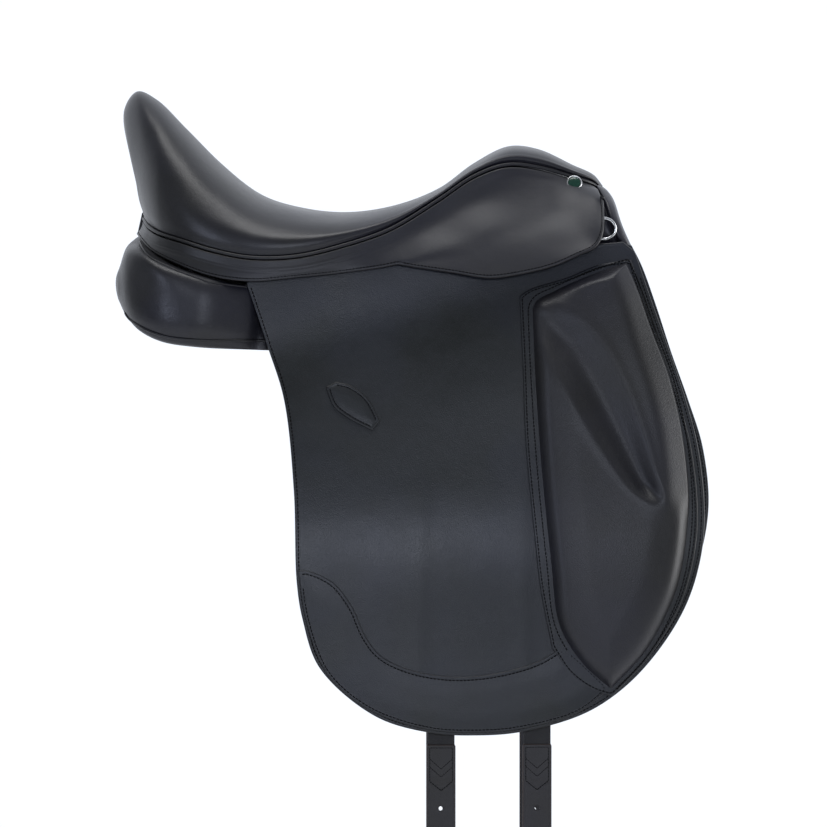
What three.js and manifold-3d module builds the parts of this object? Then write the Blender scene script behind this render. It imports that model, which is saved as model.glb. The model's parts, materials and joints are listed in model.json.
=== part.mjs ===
// English dressage saddle, in millimetres.
// +X points to the horse's head, +Y to its left, +Z up. The origin is in the gullet channel, on the
// centreline, where the horse's spine passes under the deepest part of the seat.
// Every piece is built for the left side and mirrored in the XZ plane for the right.
import * as THREE from 'three';
import { mergeVertices } from 'three/addons/utils/BufferGeometryUtils.js';
import Module from 'manifold-3d';

const wasm = await Module();
wasm.setup();

// ---- driving dimensions ----------------------------------------------------------------------
const GAP = 0.4;                    // clearance between neighbouring pieces
const LEATHER = 4;                  // flap and skirt leather
const COVER = 3;                    // seat cover with its thin padding
const FOAM = 20;                    // seat foam
const WEB = 1.6;                    // woven webs
const TREE = 10;                    // laminated tree
const PIPING_R = 2;
const BLOCK_HEIGHT = 24;            // thigh block above the flap
const HINGE_GAP = 0.8;              // half the slit between a fixed leather and the part that lifts
const BILLET_WIDTH = 29;
const BILLET_THICKNESS = 4;
const BILLET_TOP = -467;            // the line that the strap bends about, where its webbing ends
const BILLET_SLIT = [-2, 1];        // strap below that line, webbing above it
const BILLET_LENGTH = 259;
const BILLET_HOLES = 7;
const BILLET_HOLE_R = 2.4;
const BILLET_HOLE_PITCH = 25;
const BILLET_FIRST_HOLE = 65;
const BILLET_X = { rear: 81, front: 177 };
const NAIL_R = 8;
const DEE_WIRE_R = 1.6;
const BAR_ROD = 7;
const PIN_R = 1.5;
const PIN_CLEARANCE = 0.25;

// Stations of the seat, front to back: the crest on the centreline and the welt at the seat's edge.
const SEAT = [
  { crest: [245, 87], welt: [243, 10, 83] },
  { crest: [236, 98], welt: [234, 30, 92] },
  { crest: [215, 108], welt: [217, 44, 98] },
  { crest: [180, 124], welt: [180, 56, 109] },
  { crest: [150, 127], welt: [148, 64, 112] },
  { crest: [115, 110], welt: [115, 73, 101] },
  { crest: [80, 85], welt: [77, 86, 76] },
  { crest: [35, 68], welt: [30, 106, 48] },
  { crest: [-15, 61], welt: [-20, 124, 31] },
  { crest: [-60, 66], welt: [-65, 134, 21] },
  { crest: [-100, 79], welt: [-110, 136, 20] },
  { crest: [-140, 109], welt: [-148, 130, 27] },
  { crest: [-176, 144.5], welt: [-178, 118, 36] },
  { crest: [-206, 174], welt: [-201, 98, 43] },
  { crest: [-226, 182.5], welt: [-212, 73, 49] },
  { crest: [-239.5, 163], welt: [-217, 43, 54] },
  { crest: [-231, 112], welt: [-219, 17, 57] },
  { crest: [-219, 66], welt: [-218, 5, 57] },
];
const SEAT_ROWS = 22;
const SEAT_ARC = 6;                 // points from the crest to the welt
// The arches' form by station: 1 is an ellipse, less is squarer and more is more pointed.
const SEAT_FORM = [[0, 0.78], [8.5, 0.78], [11, 0.9], [13, 0.95], [17, 0.95]];
// How far an inner layer moves forward, by station, as a share of its depth: the ends close in.
const INSET_SHIFT = [[0, -1], [2, -0.3], [3, 0], [12, 0], [13, 0.35], [14, 0.7], [15, 1], [17, 1]];

// Lower edge of the fixed skirt, in step with the seat's stations from the third on.
const SKIRT_EDGE = [
  [241, 79.6, 74], [190, 89.2, 58.2], [156, 95.6, 47.4], [122, 102, 36.7], [82, 109.9, 24.2],
  [38, 118.5, 10.6], [-14, 125.5, 2], [-62, 134, -3], [-110, 139, -6.5], [-150, 136, -1],
  [-183, 124, 12], [-208, 103, 25], [-219, 76, 36], [-224, 46, 42], [-226, 17, 45],
];
const SKIRT_FIRST_STATION = 2;
const SKIRT_SHOULDER = { height: 0.4, reach: 0.2 };   // the steep part just under the welt

// A fold is a line in the side view that a leather lifts about. Its surface is ruled along the
// line: half width = at + taper * u + the curve through [s, width], s being the distance below.
const FLAP_FOLD = {
  x: -75, z: -77, rise: 0.2966, at: 136, taper: -0.14,
  curve: [[-100, -15], [-50, -8], [0, 0], [50, 14], [100, 26], [160, 36], [230, 45], [310, 52],
    [400, 57], [520, 61]],
};
const SKIRT_FOLD = {
  x: 40, z: 10, rise: 0.314, at: 118, taper: -0.184,
  curve: [[-40, -20], [0, 0], [20, 11], [40, 21], [60, 28], [90, 35]],
};
const FOLD_U = [-160, 470];         // the ruled surface's reach along its fold line
const FLAP_ABOVE = -94;             // and above and below the flap's fold line
const FLAP_BELOW = 510;
const LOBE_BELOW = 85;
const SIDE_REACH = [10, 400];       // half widths that a cut in the side view runs between

// Outlines in the side view, [x, z]. Each inner list is one smooth run between corners.
const FLAP_EDGE = [
  [-114, -9], [-93, -71], [-76, -125], [-66, -215], [-63, -305], [-57, -343], [-40, -391],
  [15, -439], [70, -456], [115, -459], [160, -456], [222, -439], [261, -415], [296, -379],
  [326, -331], [341, -283], [345, -237], [339, -175], [327, -127], [311, -79], [294, -31],
  [276, 22],
];
const FLAP_TOP = [[264, 32], [240, 30], [200, 26], [130, 12], [90, 10], [50, 12], [-30, 10], [-108, 8]];
const SWEAT_EDGE = [
  [-84, -70], [-66, -125], [-56, -215], [-53, -305], [-31, -385], [19, -429], [115, -449],
  [218, -430], [258, -404], [292, -368], [334, -300], [349, -237], [344, -175], [329.5, -127],
  [312.5, -79], [297, -31], [283, 8], [273, 28],
];
const SWEAT_TOP = [[264, 31], [100, -22], [-60, -68]];
const BORDER_EDGE = [
  [[160, -22], [163, -90], [166, -170], [175, -265], [180, -310], [192, -372]],
  [[192, -372], [210, -398], [232, -414], [252, -421]],
  [[252, -421], [290, -381], [320, -331], [334, -283], [338, -237], [332, -175], [320, -127],
    [304, -79], [287, -31], [272, 14]],
  [[272, 14], [240, 9], [207, -4], [171, -15], [160, -22]],
];
const BLOCK_EDGE = [
  [[171, -34], [173, -90], [179, -184], [189, -285], [198, -351], [222, -390], [251, -416]],
  [[251, -416], [287, -377], [315, -324], [326, -281], [330, -228], [324, -160], [311, -103],
    [294, -57], [279, -14], [268, 12]],
  [[268, 12], [238, 2], [194, -16], [176, -25], [171, -34]],
];
const BLOCK_SPINE = [[236, -40], [246, -370]];
const BLOCK_RISE = [[0, -8], [0, 4], [8, 14], [18, 20], [32, BLOCK_HEIGHT]];   // [inwards, height]
const WEAR_EDGE = [
  [[-62, -293], [-52, -294], [-38, -299], [-24, -308], [-7, -331], [5, -358], [20, -378], [47, -392],
    [88, -400], [131, -398], [177, -386], [203, -371]],
  [[203, -371], [215, -380], [250, -413]],
  [[250, -413], [218, -437], [158, -453], [115, -456], [70, -453], [16, -436], [-19, -412],
    [-38, -388], [-54, -342], [-60, -305], [-62, -293]],
];
const KEEPER_EDGE = [
  [[-34, -112], [-24, -107]],
  [[-24, -107], [-9, -111], [8, -124], [20, -146]],
  [[20, -146], [12, -155]],
  [[12, -155], [-11, -143], [-26, -131], [-34, -112]],
];
const SKIRT_LOBE_EDGE = [
  [242, 76], [244.5, 60], [243, 41], [236, 28], [220, 19], [195, 7], [169, 1], [131, -3],
  [95, 2], [60, 7], [38, 10.5],
];

// Panel sections, [half width, height], from the inner top round the outside to the inner bottom.
const PANEL = [
  { x: -243, ring: [[54, 4], [72, 6], [92, 2], [98, -14], [88, -26], [60, -22], [50, -12]] },
  { x: -234, ring: [[42, 26], [80, 28], [112, 18], [118, -10], [106, -42], [62, -36], [40, -20]] },
  { x: -220, ring: [[36, 33], [84, 30], [126, 18], [130, -12], [120, -56], [70, -44], [36, -26]] },
  { x: -198, ring: [[34, 20], [84, 16], [138, 8], [142, -20], [132, -66], [76, -52], [33, -30]] },
  { x: -165, ring: [[33, -2], [98, -4], [138, -1], [147, -28], [138, -71], [80, -56], [33, -34]] },
  { x: -110, ring: [[32, -19], [114, -19], [134, -12], [147, -36], [138, -74], [80, -58], [32, -36]] },
  { x: -50, ring: [[32, -19], [106, -19], [122, -12], [138, -36], [132, -76], [78, -60], [32, -36]] },
  { x: 10, ring: [[32, -4], [92, -4], [106, -6], [128, -36], [124, -78], [78, -60], [33, -28]] },
  { x: 70, ring: [[33, 28], [62, 28], [90, 8], [114, -36], [112, -80], [76, -58], [40, -6]] },
  { x: 130, ring: [[35, 58], [50, 50], [80, 6], [106, -36], [104, -80], [78, -58], [46, 8]] },
  { x: 180, ring: [[36, 60], [50, 46], [74, 6], [98, -36], [98, -76], [76, -58], [48, 8]] },
  { x: 252, ring: [[36, 58], [56, 50], [68, 14], [82, -30], [80, -62], [66, -52], [50, 8]] },
];
const PANEL_ROWS = 17;
const PANEL_RING = 14;
const FRONT_LEAN = 0.47;            // the front arch leans forward by this much for each mm down
const FRONT_TOP = 60;
const FLAP_STACK = 14.6;            // flap, billets and sweat flap together

// ---- geometry helpers ------------------------------------------------------------------------
const v3 = (x, y, z) => new THREE.Vector3(x, y, z);
const mix = (a, b, t) => a + (b - a) * t;

function solidOf(geometry) {
  const bare = new THREE.BufferGeometry();
  bare.setAttribute('position', geometry.getAttribute('position'));
  bare.setIndex(geometry.index);
  const merged = mergeVertices(bare, 1e-3);
  const mesh = new wasm.Mesh({
    numProp: 3,
    vertProperties: new Float32Array(merged.getAttribute('position').array),
    triVerts: new Uint32Array(merged.index.array),
  });
  return new wasm.Manifold(mesh);
}

function geometryOf(solid) {
  const mesh = solid.getMesh();
  const geometry = new THREE.BufferGeometry();
  geometry.setAttribute('position', new THREE.BufferAttribute(mesh.vertProperties, 3));
  geometry.setIndex(new THREE.BufferAttribute(mesh.triVerts, 1));
  return geometry;
}

function fromTriangles(points, faces) {
  let volume = 0;
  for (const [a, b, c] of faces) volume += points[a].dot(points[b].clone().cross(points[c]));
  const turned = volume < 0 ? faces.map(([a, b, c]) => [a, c, b]) : faces;
  const geometry = new THREE.BufferGeometry();
  const flat = points.flatMap((p) => [p.x, p.y, p.z]);
  geometry.setAttribute('position', new THREE.Float32BufferAttribute(flat, 3));
  geometry.setIndex(turned.flat());
  return solidOf(geometry);
}

// Joins rings of points into one closed solid. flat(p) gives the plane that the end caps lie in.
function loft(rings, flat, closed = false) {
  const n = rings[0].length;
  const points = rings.flat();
  const faces = [];
  const count = closed ? rings.length : rings.length - 1;
  for (let i = 0; i < count; i++) {
    const next = (i + 1) % rings.length;
    for (let j = 0; j < n; j++) {
      const k = (j + 1) % n;
      faces.push([i * n + j, i * n + k, next * n + k]);
      faces.push([i * n + j, next * n + k, next * n + j]);
    }
  }
  if (closed) return fromTriangles(points, faces);
  const last = (rings.length - 1) * n;
  for (const [a, b, c] of cap(rings[0].map(flat))) faces.push([c, b, a]);
  for (const [a, b, c] of cap(rings.at(-1).map(flat))) faces.push([last + a, last + b, last + c]);
  return fromTriangles(points, faces);
}

// Triangles over a flat ring, each wound the way the ring runs.
function cap(ring) {
  const { area } = THREE.ShapeUtils;
  return THREE.ShapeUtils.triangulateShape(ring, []).map(([a, b, c]) => (
    area([ring[a], ring[b], ring[c]]) * area(ring) > 0 ? [a, b, c] : [a, c, b]));
}

function smooth(points, count) {
  const curve = new THREE.CatmullRomCurve3(points.map(([x, z]) => v3(x, 0, z)), false, 'centripetal');
  return curve.getSpacedPoints(count).map((p) => [p.x, p.z]);
}

// One closed outline from smooth runs, with a point about every `step` along them.
function outline(runs, step = 22) {
  return runs.flatMap((run) => {
    let length = 0;
    for (let i = 1; i < run.length; i++) {
      length += Math.hypot(run[i][0] - run[i - 1][0], run[i][1] - run[i - 1][1]);
    }
    const count = run.length === 2 ? 1 : Math.max(2, Math.round(length / step));
    return smooth(run, count).slice(0, -1);
  });
}

// The plane that a ring's cap lies in, seen along X, Y or Z.
const alongX = (p) => new THREE.Vector2(p.y, p.z);
const alongY = (p) => new THREE.Vector2(p.x, p.z);
const alongZ = (p) => new THREE.Vector2(p.x, p.y);

function prismY(points, y0, y1) {
  const ring = (y) => points.map(([x, z]) => v3(x, y, z));
  return loft([ring(y0), ring(y1)], alongY);
}

function prismX(points, x0, x1, lean = 0, leanBack = lean) {
  const ring = (x, slope) => points.map(([y, z]) => v3(x - slope * z, y, z));
  return loft([ring(x0, leanBack), ring(x1, lean)], alongX);
}

function prismZ(points, z0, z1) {
  const ring = (z) => points.map(([x, y]) => v3(x, y, z));
  return loft([ring(z0), ring(z1)], alongZ);
}

function box([x0, x1], [y0, y1], [z0, z1]) {
  const geometry = new THREE.BoxGeometry(x1 - x0, y1 - y0, z1 - z0);
  geometry.translate((x0 + x1) / 2, (y0 + y1) / 2, (z0 + z1) / 2);
  return solidOf(geometry);
}

function rod(radius, from, to, sides = 16) {
  const along = to.clone().sub(from);
  const geometry = new THREE.CylinderGeometry(radius, radius, along.length(), sides);
  const turn = new THREE.Quaternion().setFromUnitVectors(v3(0, 1, 0), along.clone().normalize());
  geometry.applyQuaternion(turn);
  geometry.translate(...from.clone().add(to).multiplyScalar(0.5).toArray());
  return solidOf(geometry);
}

// ---- ruled leather surfaces ------------------------------------------------------------------
function foldFrame(fold) {
  const length = Math.hypot(1, fold.rise);
  return { c: 1 / length, s: fold.rise / length };
}

function foldPoint(fold, u, s, offset) {
  const { c, s: k } = foldFrame(fold);
  const width = fold.at + fold.taper * u + curveAt(fold.curve, s) + offset;
  return v3(fold.x + c * u + k * s, width, fold.z + k * u - c * s);
}

function curveAt(curve, s) {
  const i = Math.max(1, curve.findIndex(([at]) => at >= s));
  const [s0, w0] = curve[i - 1];
  const [s1, w1] = curve[i];
  return mix(w0, w1, (s - s0) / (s1 - s0));
}

// The space between two offsets of a fold's surface, from s0 to s1 below the fold line.
function layer(fold, inner, outer, s0 = FLAP_ABOVE, s1 = FLAP_BELOW) {
  const steps = [s0, ...fold.curve.map(([s]) => s).filter((s) => s > s0 && s < s1), s1];
  const ringAt = (u) => [
    ...steps.map((s) => foldPoint(fold, u, s, outer)),
    ...steps.toReversed().map((s) => foldPoint(fold, u, s, inner)),
  ];
  return loft(FOLD_U.map(ringAt), alongX);
}

const sideCut = (points) => prismY(points, ...SIDE_REACH);
const sheet = (points, fold, inner, outer, s0, s1) => sideCut(points).intersect(
  layer(fold, inner, outer, s0, s1));

// ---- the seat --------------------------------------------------------------------------------
const curveOf = (points) => new THREE.CatmullRomCurve3(points, false, 'centripetal');
const CREST = curveOf(SEAT.map(({ crest: [x, z] }) => v3(x, 0, z)));
const WELT = curveOf(SEAT.map(({ welt: [x, y, z] }) => v3(x, y, z)));

// One arch of the seat from the left welt over the crest to the right, `inset` below the leather.
function seatArch(t, inset) {
  const crest = CREST.getPoint(t);
  const welt = WELT.getPoint(t);
  const width = welt.y ** 2 / (welt.y + inset);
  const station = t * (SEAT.length - 1);
  const shift = inset * curveAt(INSET_SHIFT, station);
  const form = curveAt(SEAT_FORM, station);
  const foot = v3(welt.x + shift, 0, welt.z - inset);
  const top = v3(crest.x + shift, 0, crest.z - inset);
  const arch = [];
  for (let j = -SEAT_ARC; j <= SEAT_ARC; j++) {
    const angle = (Math.PI / 2) * (j / SEAT_ARC);
    const up = Math.cos(angle) ** form;
    const out = Math.sign(j) * Math.abs(Math.sin(angle)) ** form;
    const p = foot.clone().lerp(top, Math.abs(j) === SEAT_ARC ? 0 : up);
    arch.push(p.setY(width * out));
  }
  return arch;
}

function seatSolid(inset) {
  const rings = [];
  for (let i = 0; i <= SEAT_ROWS; i++) rings.push(seatArch(i / SEAT_ROWS, inset));
  return loft(rings, alongX);
}

const shell = (from, to) => seatSolid(from).subtract(seatSolid(to));
const LAYERS = { foam: COVER + GAP, cross: COVER + FOAM + 2 * GAP };
LAYERS.long = LAYERS.cross + WEB + GAP;
LAYERS.tree = LAYERS.long + WEB + GAP;
LAYERS.spring = LAYERS.tree + TREE + GAP;

// Cuts in plan, [x, y].
const planPrism = (points) => prismZ(points, -60, 260);
const planBox = ([x0, x1], [y0, y1]) => planPrism([[x0, y0], [x1, y0], [x1, y1], [x0, y1]]);
const TREE_OPENING = [
  [50, -24], [62, 0], [50, 24], [-30, 48], [-110, 52], [-132, 30], [-132, -30], [-110, -52],
  [-30, -48],
];
const CROSS_WEB = { x: [-70, -10], y: [-95, 95] };
const LONG_WEB = { x: [-150, 90], y: [-24, 24] };
const SPRING = { x: [-150, 90], y: [54, 72], thickness: 2 };

// ---- head of the tree ------------------------------------------------------------------------
const HEAD_X = [192, 222];
const PLATE_OUTER = [[68, -18], [60, 22], [44, 48], [20, 58], [0, 60]];
const PLATE_INNER = [[0, 55.5], [18, 53.5], [40, 44], [55, 20], [63, -18]];
const POINT_OUTER = [[78, -18], [70, 24], [52, 56], [26, 70], [0, 73]];
const POINT_INNER = [[0, 60.5], [20.2, 58.5], [44.4, 48.4], [60.5, 22], [68.5, -18]];
const BAR_BOARD = [[36, 80], [44, 80], [67, 52], [67, 24], [58, 24], [58, 46]];
const BAR_BOARD_X = [100, 200];
const PLATE_BED = [[0, 40], [60, -19]];   // everything under the point's inner face

function headArch(outer, inner, [x0, x1], lean = 0, leanBack = lean) {
  const right = outer.slice(0, -1).map(([y, z]) => [-y, z]);
  const back = inner.slice(1).map(([y, z]) => [-y, z]).toReversed();
  return prismX([...outer, ...right.toReversed(), ...back, ...inner], x0, x1, lean, leanBack);
}

function makeTree() {
  const ring = shell(LAYERS.tree, LAYERS.tree + TREE).subtract(planPrism(TREE_OPENING));
  const front = headArch(POINT_OUTER, POINT_INNER, HEAD_X);
  const board = prismX(BAR_BOARD, ...BAR_BOARD_X);
  const bedX = [HEAD_X[0] - GAP, HEAD_X[1] + GAP];
  const bed = headArch(POINT_INNER.toReversed(), PLATE_BED, bedX);
  const around = ([low, high]) => [low - 1, high + 1];
  const recess = box(around(PLATE_X), [PLATE_Y[0] - GAP, ROD_Y[1]], around(PLATE_Z));
  let tree = ring.add(front).add(board).add(mirrored(board)).subtract(bed).subtract(recess)
    .subtract(mirrored(recess));
  for (const side of [1, -1]) {
    for (const x of RIVET_X) tree = tree.subtract(rivetHole(x, side));
  }
  return tree;
}

// ---- stirrup bar -----------------------------------------------------------------------------
const BAR_Z = 38;
const PLATE_X = [108, 206];
const PLATE_Y = [67.4, 70.4];
const PLATE_Z = [27, 49];
const LINK_X = [196, 206];          // joins the rod to the plate
const LINK_Z = [32, 44];
const ROD_X = [118, 206];
const ROD_Y = [79.5, 79.5 + BAR_ROD];
const ROD_Z = [33, 43];
const FORK = { x: [110, 130], y: [81, 85], z: [20, 60] };   // the slit that the latch flips in
const LATCH_SHAPE = [[104, 34], [128, 34], [128, 42], [112, 42], [104, 40]];
const LATCH_Y = [81.4, 84.6];
const LATCH_PIN_X = 124;
const PIN_SHORT = 0.3;              // each end of the pin stays this far inside the rod
const RIVET_X = [132, 184];
const RIVET_R = 2.5;
const RIVET_HEAD_R = 4.2;
const RIVET_Y = [60, 71];
const RIVET_HEAD_Y = [70.7, 72.6];
const RIVET_HOLE_Y = [50, 74];

const acrossBar = (radius, x, [y0, y1]) => rod(radius, v3(x, y0, BAR_Z), v3(x, y1, BAR_Z));
const rivetHole = (x, side) => acrossBar(RIVET_R + GAP, x, RIVET_HOLE_Y.map((y) => side * y));
const latchPin = () => acrossBar(PIN_R, LATCH_PIN_X, [ROD_Y[0] + PIN_SHORT, ROD_Y[1] - PIN_SHORT]);
const latchPinHole = () => acrossBar(PIN_R + PIN_CLEARANCE, LATCH_PIN_X, [ROD_Y[0] - 1, ROD_Y[1] + 1]);

function makeStirrupBar() {
  const plate = box(PLATE_X, PLATE_Y, PLATE_Z);
  const link = box(LINK_X, [PLATE_Y[1] - GAP, ROD_Y[1]], LINK_Z);
  const bar = box(ROD_X, ROD_Y, ROD_Z);
  const solid = plate.add(link).add(bar).subtract(box(FORK.x, FORK.y, FORK.z));
  const holes = RIVET_X.map((x) => rivetHole(x, 1));
  return holes.reduce((left, hole) => left.subtract(hole), solid.subtract(latchPinHole()));
}

const makeLatch = () => prismY(LATCH_SHAPE, ...LATCH_Y).subtract(latchPinHole());
const makeRivet = (x) => acrossBar(RIVET_R, x, RIVET_Y).add(
  acrossBar(RIVET_HEAD_R, x, RIVET_HEAD_Y));

// ---- skirt -----------------------------------------------------------------------------------
const SKIRT_TOP_DROP = 2 * PIPING_R + 2;
const SKIRT_TOP_OUT = 1;
const SKIRT_THICKNESS = 3.5;
const SKIRT_CURVE = curveOf(SKIRT_EDGE.map(([x, y, z]) => v3(x, y, z)));
const SKIRT_ROWS = 24;

function skirtRow(t, grow) {
  const stations = SEAT.length - 1;
  const seatT = mix(SKIRT_FIRST_STATION, stations - 1, t) / stations;
  const welt = WELT.getPoint(seatT);
  const tangent = WELT.getTangent(seatT).setZ(0).normalize();
  const outward = v3(-tangent.y, tangent.x, 0).multiplyScalar(-1);
  const top = welt.clone().add(v3(0, 0, -SKIRT_TOP_DROP)).addScaledVector(outward, SKIRT_TOP_OUT);
  const low = SKIRT_CURVE.getPoint(t);
  const shoulder = v3(
    mix(top.x, low.x, SKIRT_SHOULDER.reach), mix(top.y, low.y, SKIRT_SHOULDER.reach),
    mix(top.z, low.z, SKIRT_SHOULDER.height));
  const out = outward.clone().multiplyScalar(grow);
  const back = outward.clone().multiplyScalar(-SKIRT_THICKNESS - grow);
  const line = [top, shoulder, low];
  return [...line.map((p) => p.clone().add(out)), ...line.toReversed().map((p) => p.clone().add(back))];
}

function makeSkirt(grow = 0) {
  const rows = [];
  for (let i = 0; i <= SKIRT_ROWS; i++) rows.push(skirtRow(i / SKIRT_ROWS, grow));
  return loft(rows, alongX);
}

// The lobe's outline runs on above the fold line, where the fold cuts it off.
const LOBE_REAR = [30, 60];
const LOBE_FRONT = [242, 100];
const makeSkirtLobe = () => {
  const edge = outline([SKIRT_LOBE_EDGE, [SKIRT_LOBE_EDGE.at(-1), LOBE_REAR], [LOBE_REAR, LOBE_FRONT],
    [LOBE_FRONT, SKIRT_LOBE_EDGE[0]]]);
  return sheet(edge, SKIRT_FOLD, -LEATHER, 0, HINGE_GAP, LOBE_BELOW);
};

const NAIL = { centre: [216, 55, 89.5], axis: [0.1, 1, 0.45], height: 4.5, sides: 20 };

function makeNail() {
  const centre = v3(...NAIL.centre);
  const tip = centre.clone().addScaledVector(v3(...NAIL.axis).normalize(), NAIL.height);
  return rod(NAIL_R, centre, tip, NAIL.sides).subtract(makeSkirt(GAP));
}

// ---- flap and what is sewn on it -------------------------------------------------------------
const joinedOutline = (edge, top) => outline([edge, [edge.at(-1), top[0]], top, [top.at(-1), edge[0]]]);
const FLAP_OUTLINE = joinedOutline(FLAP_EDGE, FLAP_TOP);
const SWEAT_OUTLINE = joinedOutline(SWEAT_EDGE, SWEAT_TOP);
const SWEAT_LAYER = [-13.6, -10.6];   // offsets from the flap's outer face
const WEB_LAYER = [-8.6, -6.4];
const SEWN_START = 2;                 // what is sewn on the flap starts this far below its fold
const BORDER_THICKNESS = 3;
const WEAR_THICKNESS = 1.6;
const KEEPER_THICKNESS = 5.4;
const KEEPER_TUNNEL = [[-44, -102], [-30, -92], [34, -154], [20, -168]];
const KEEPER_TUNNEL_HEIGHT = 3.4;
const SEWN_GAP = 0.6;
const BLOCK_STEP = 26;
const KEEPER_STEP = 12;

const makeFlapUpper = () => sheet(
  FLAP_OUTLINE, FLAP_FOLD, -LEATHER, 0, FLAP_ABOVE, -HINGE_GAP);
const makeFlap = () => sheet(FLAP_OUTLINE, FLAP_FOLD, -LEATHER, 0, HINGE_GAP, FLAP_BELOW);
const makeSweatFlap = () => sheet(SWEAT_OUTLINE, FLAP_FOLD, ...SWEAT_LAYER, FLAP_ABOVE, FLAP_BELOW);
const onFlap = (points, thickness) => sheet(
  points, FLAP_FOLD, GAP, GAP + thickness, SEWN_START, FLAP_BELOW);

function grown(points, distance) {
  const area = THREE.ShapeUtils.area(points.map(([x, z]) => new THREE.Vector2(x, z)));
  const n = points.length;
  return points.map(([x, z], i) => {
    const [x0, z0] = points[(i + n - 1) % n];
    const [x1, z1] = points[(i + 1) % n];
    const length = Math.hypot(x1 - x0, z1 - z0);
    const side = -Math.sign(area) * distance / length;
    return [x - (z1 - z0) * side, z + (x1 - x0) * side];
  });
}

// Moves a point of the block's outline towards the line along its middle.
function towardsSpine([x, z], distance) {
  const [top, foot] = BLOCK_SPINE;
  const t = THREE.MathUtils.clamp((z - top[1]) / (foot[1] - top[1]), 0, 1);
  const spine = [mix(top[0], foot[0], t), mix(top[1], foot[1], t)];
  const share = Math.min(0.8, distance / Math.hypot(spine[0] - x, spine[1] - z));
  return [mix(x, spine[0], share), mix(z, spine[1], share)];
}

function makeBlock() {
  const edge = outline(BLOCK_EDGE, BLOCK_STEP);
  const { c, s } = foldFrame(FLAP_FOLD);
  const rings = BLOCK_RISE.map(([distance, height]) => edge.map((point) => {
    const [x, z] = towardsSpine(point, distance);
    const dx = x - FLAP_FOLD.x;
    const dz = z - FLAP_FOLD.z;
    return foldPoint(FLAP_FOLD, dx * c + dz * s, dx * s - dz * c, height);
  }));
  const pad = loft(rings, alongY);
  return pad.subtract(layer(FLAP_FOLD, -60, GAP + 0.3));
}

const makeBorder = () => onFlap(outline(BORDER_EDGE), BORDER_THICKNESS).subtract(
  sideCut(grown(outline(BLOCK_EDGE, BLOCK_STEP), SEWN_GAP)));
const makeWearPatch = () => onFlap(outline(WEAR_EDGE), WEAR_THICKNESS).subtract(
  sideCut(grown(outline(BORDER_EDGE), SEWN_GAP)));
const makeKeeper = () => onFlap(outline(KEEPER_EDGE, KEEPER_STEP), KEEPER_THICKNESS).subtract(
  sheet(KEEPER_TUNNEL, FLAP_FOLD, 0, KEEPER_TUNNEL_HEIGHT, SEWN_START, FLAP_BELOW));

// ---- billets ---------------------------------------------------------------------------------
const WEB_TOP = 4;
const BILLET_TIP = [[14.5, 14], [9, 4], [0, 0], [-9, 4], [-14.5, 14]];   // [sideways, up]

function billetWeb(x) {
  const half = BILLET_WIDTH / 2 - 0.5;
  const low = BILLET_TOP + BILLET_SLIT[1];
  const strip = [[x - half, WEB_TOP], [x + half, WEB_TOP], [x + half, low], [x - half, low]];
  return sheet(strip, FLAP_FOLD, ...WEB_LAYER, FLAP_ABOVE, FLAP_BELOW);
}

const billetPivot = (x) => {
  const { c, s } = foldFrame(FLAP_FOLD);
  const dx = x - FLAP_FOLD.x;
  const dz = BILLET_TOP - FLAP_FOLD.z;
  const offset = (WEB_LAYER[0] + WEB_LAYER[1]) / 2;
  return foldPoint(FLAP_FOLD, dx * c + dz * s, dx * s - dz * c, offset);
};

function billetStrap(x) {
  const { y } = billetPivot(x);
  const half = BILLET_WIDTH / 2;
  const top = BILLET_TOP + BILLET_SLIT[0];
  const low = BILLET_TOP - BILLET_LENGTH;
  const tip = BILLET_TIP.map(([across, up]) => [x + across, low + up]);
  const shape = [[x - half, top], [x + half, top], ...tip];
  let strap = prismY(shape, y - BILLET_THICKNESS / 2, y + BILLET_THICKNESS / 2);
  for (let i = 0; i < BILLET_HOLES; i++) {
    const z = BILLET_TOP - BILLET_FIRST_HOLE - i * BILLET_HOLE_PITCH;
    strap = strap.subtract(rod(BILLET_HOLE_R, v3(x, y - 10, z), v3(x, y + 10, z), 8));
  }
  return strap;
}

// ---- dee ring --------------------------------------------------------------------------------
const DEE = { x: 241, y: 82.5, low: 34.5, high: 55.5, reach: 16, turn: 0.26, bow: 4, sides: 8 };
// The leather loop round the dee's straight side, in plan from that side's centre, [x, y].
const DEE_TAB = [
  [-34, -3], [-34, -0.5], [-6, 3.2], [1, 3.4], [3.2, 1], [3.2, -1.4], [1, -3.4], [-5, -3.4],
];
const DEE_TAB_Z = [37, 53];
const DEE_TAB_HOLE_Z = [20, 70];

function makeDee() {
  const middle = (DEE.low + DEE.high) / 2;
  const half = (DEE.high - DEE.low) / 2;
  const path = [[0, -half], [0, 0], [0, half]];
  for (let i = 1; i < DEE.sides; i++) {
    const angle = Math.PI / 2 - (Math.PI * i) / DEE.sides;
    path.push([DEE.bow + (DEE.reach - DEE.bow) * Math.cos(angle), half * Math.sin(angle) * 1.02]);
  }
  const at = ([r, h]) => v3(DEE.x + r * Math.cos(DEE.turn), DEE.y - r * Math.sin(DEE.turn), middle + h);
  const normal = v3(Math.sin(DEE.turn), Math.cos(DEE.turn), 0);
  const n = path.length;
  const rings = path.map((p, i) => {
    const along = at(path[(i + 1) % n]).sub(at(path[(i + n - 1) % n])).normalize();
    const across = normal.clone().cross(along);
    return Array.from({ length: DEE.sides }, (_, k) => {
      const angle = (Math.PI * 2 * k) / DEE.sides;
      return at(p).addScaledVector(normal, DEE_WIRE_R * Math.cos(angle))
        .addScaledVector(across, DEE_WIRE_R * Math.sin(angle));
    });
  });
  return loft(rings, alongY, true);
}

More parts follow.
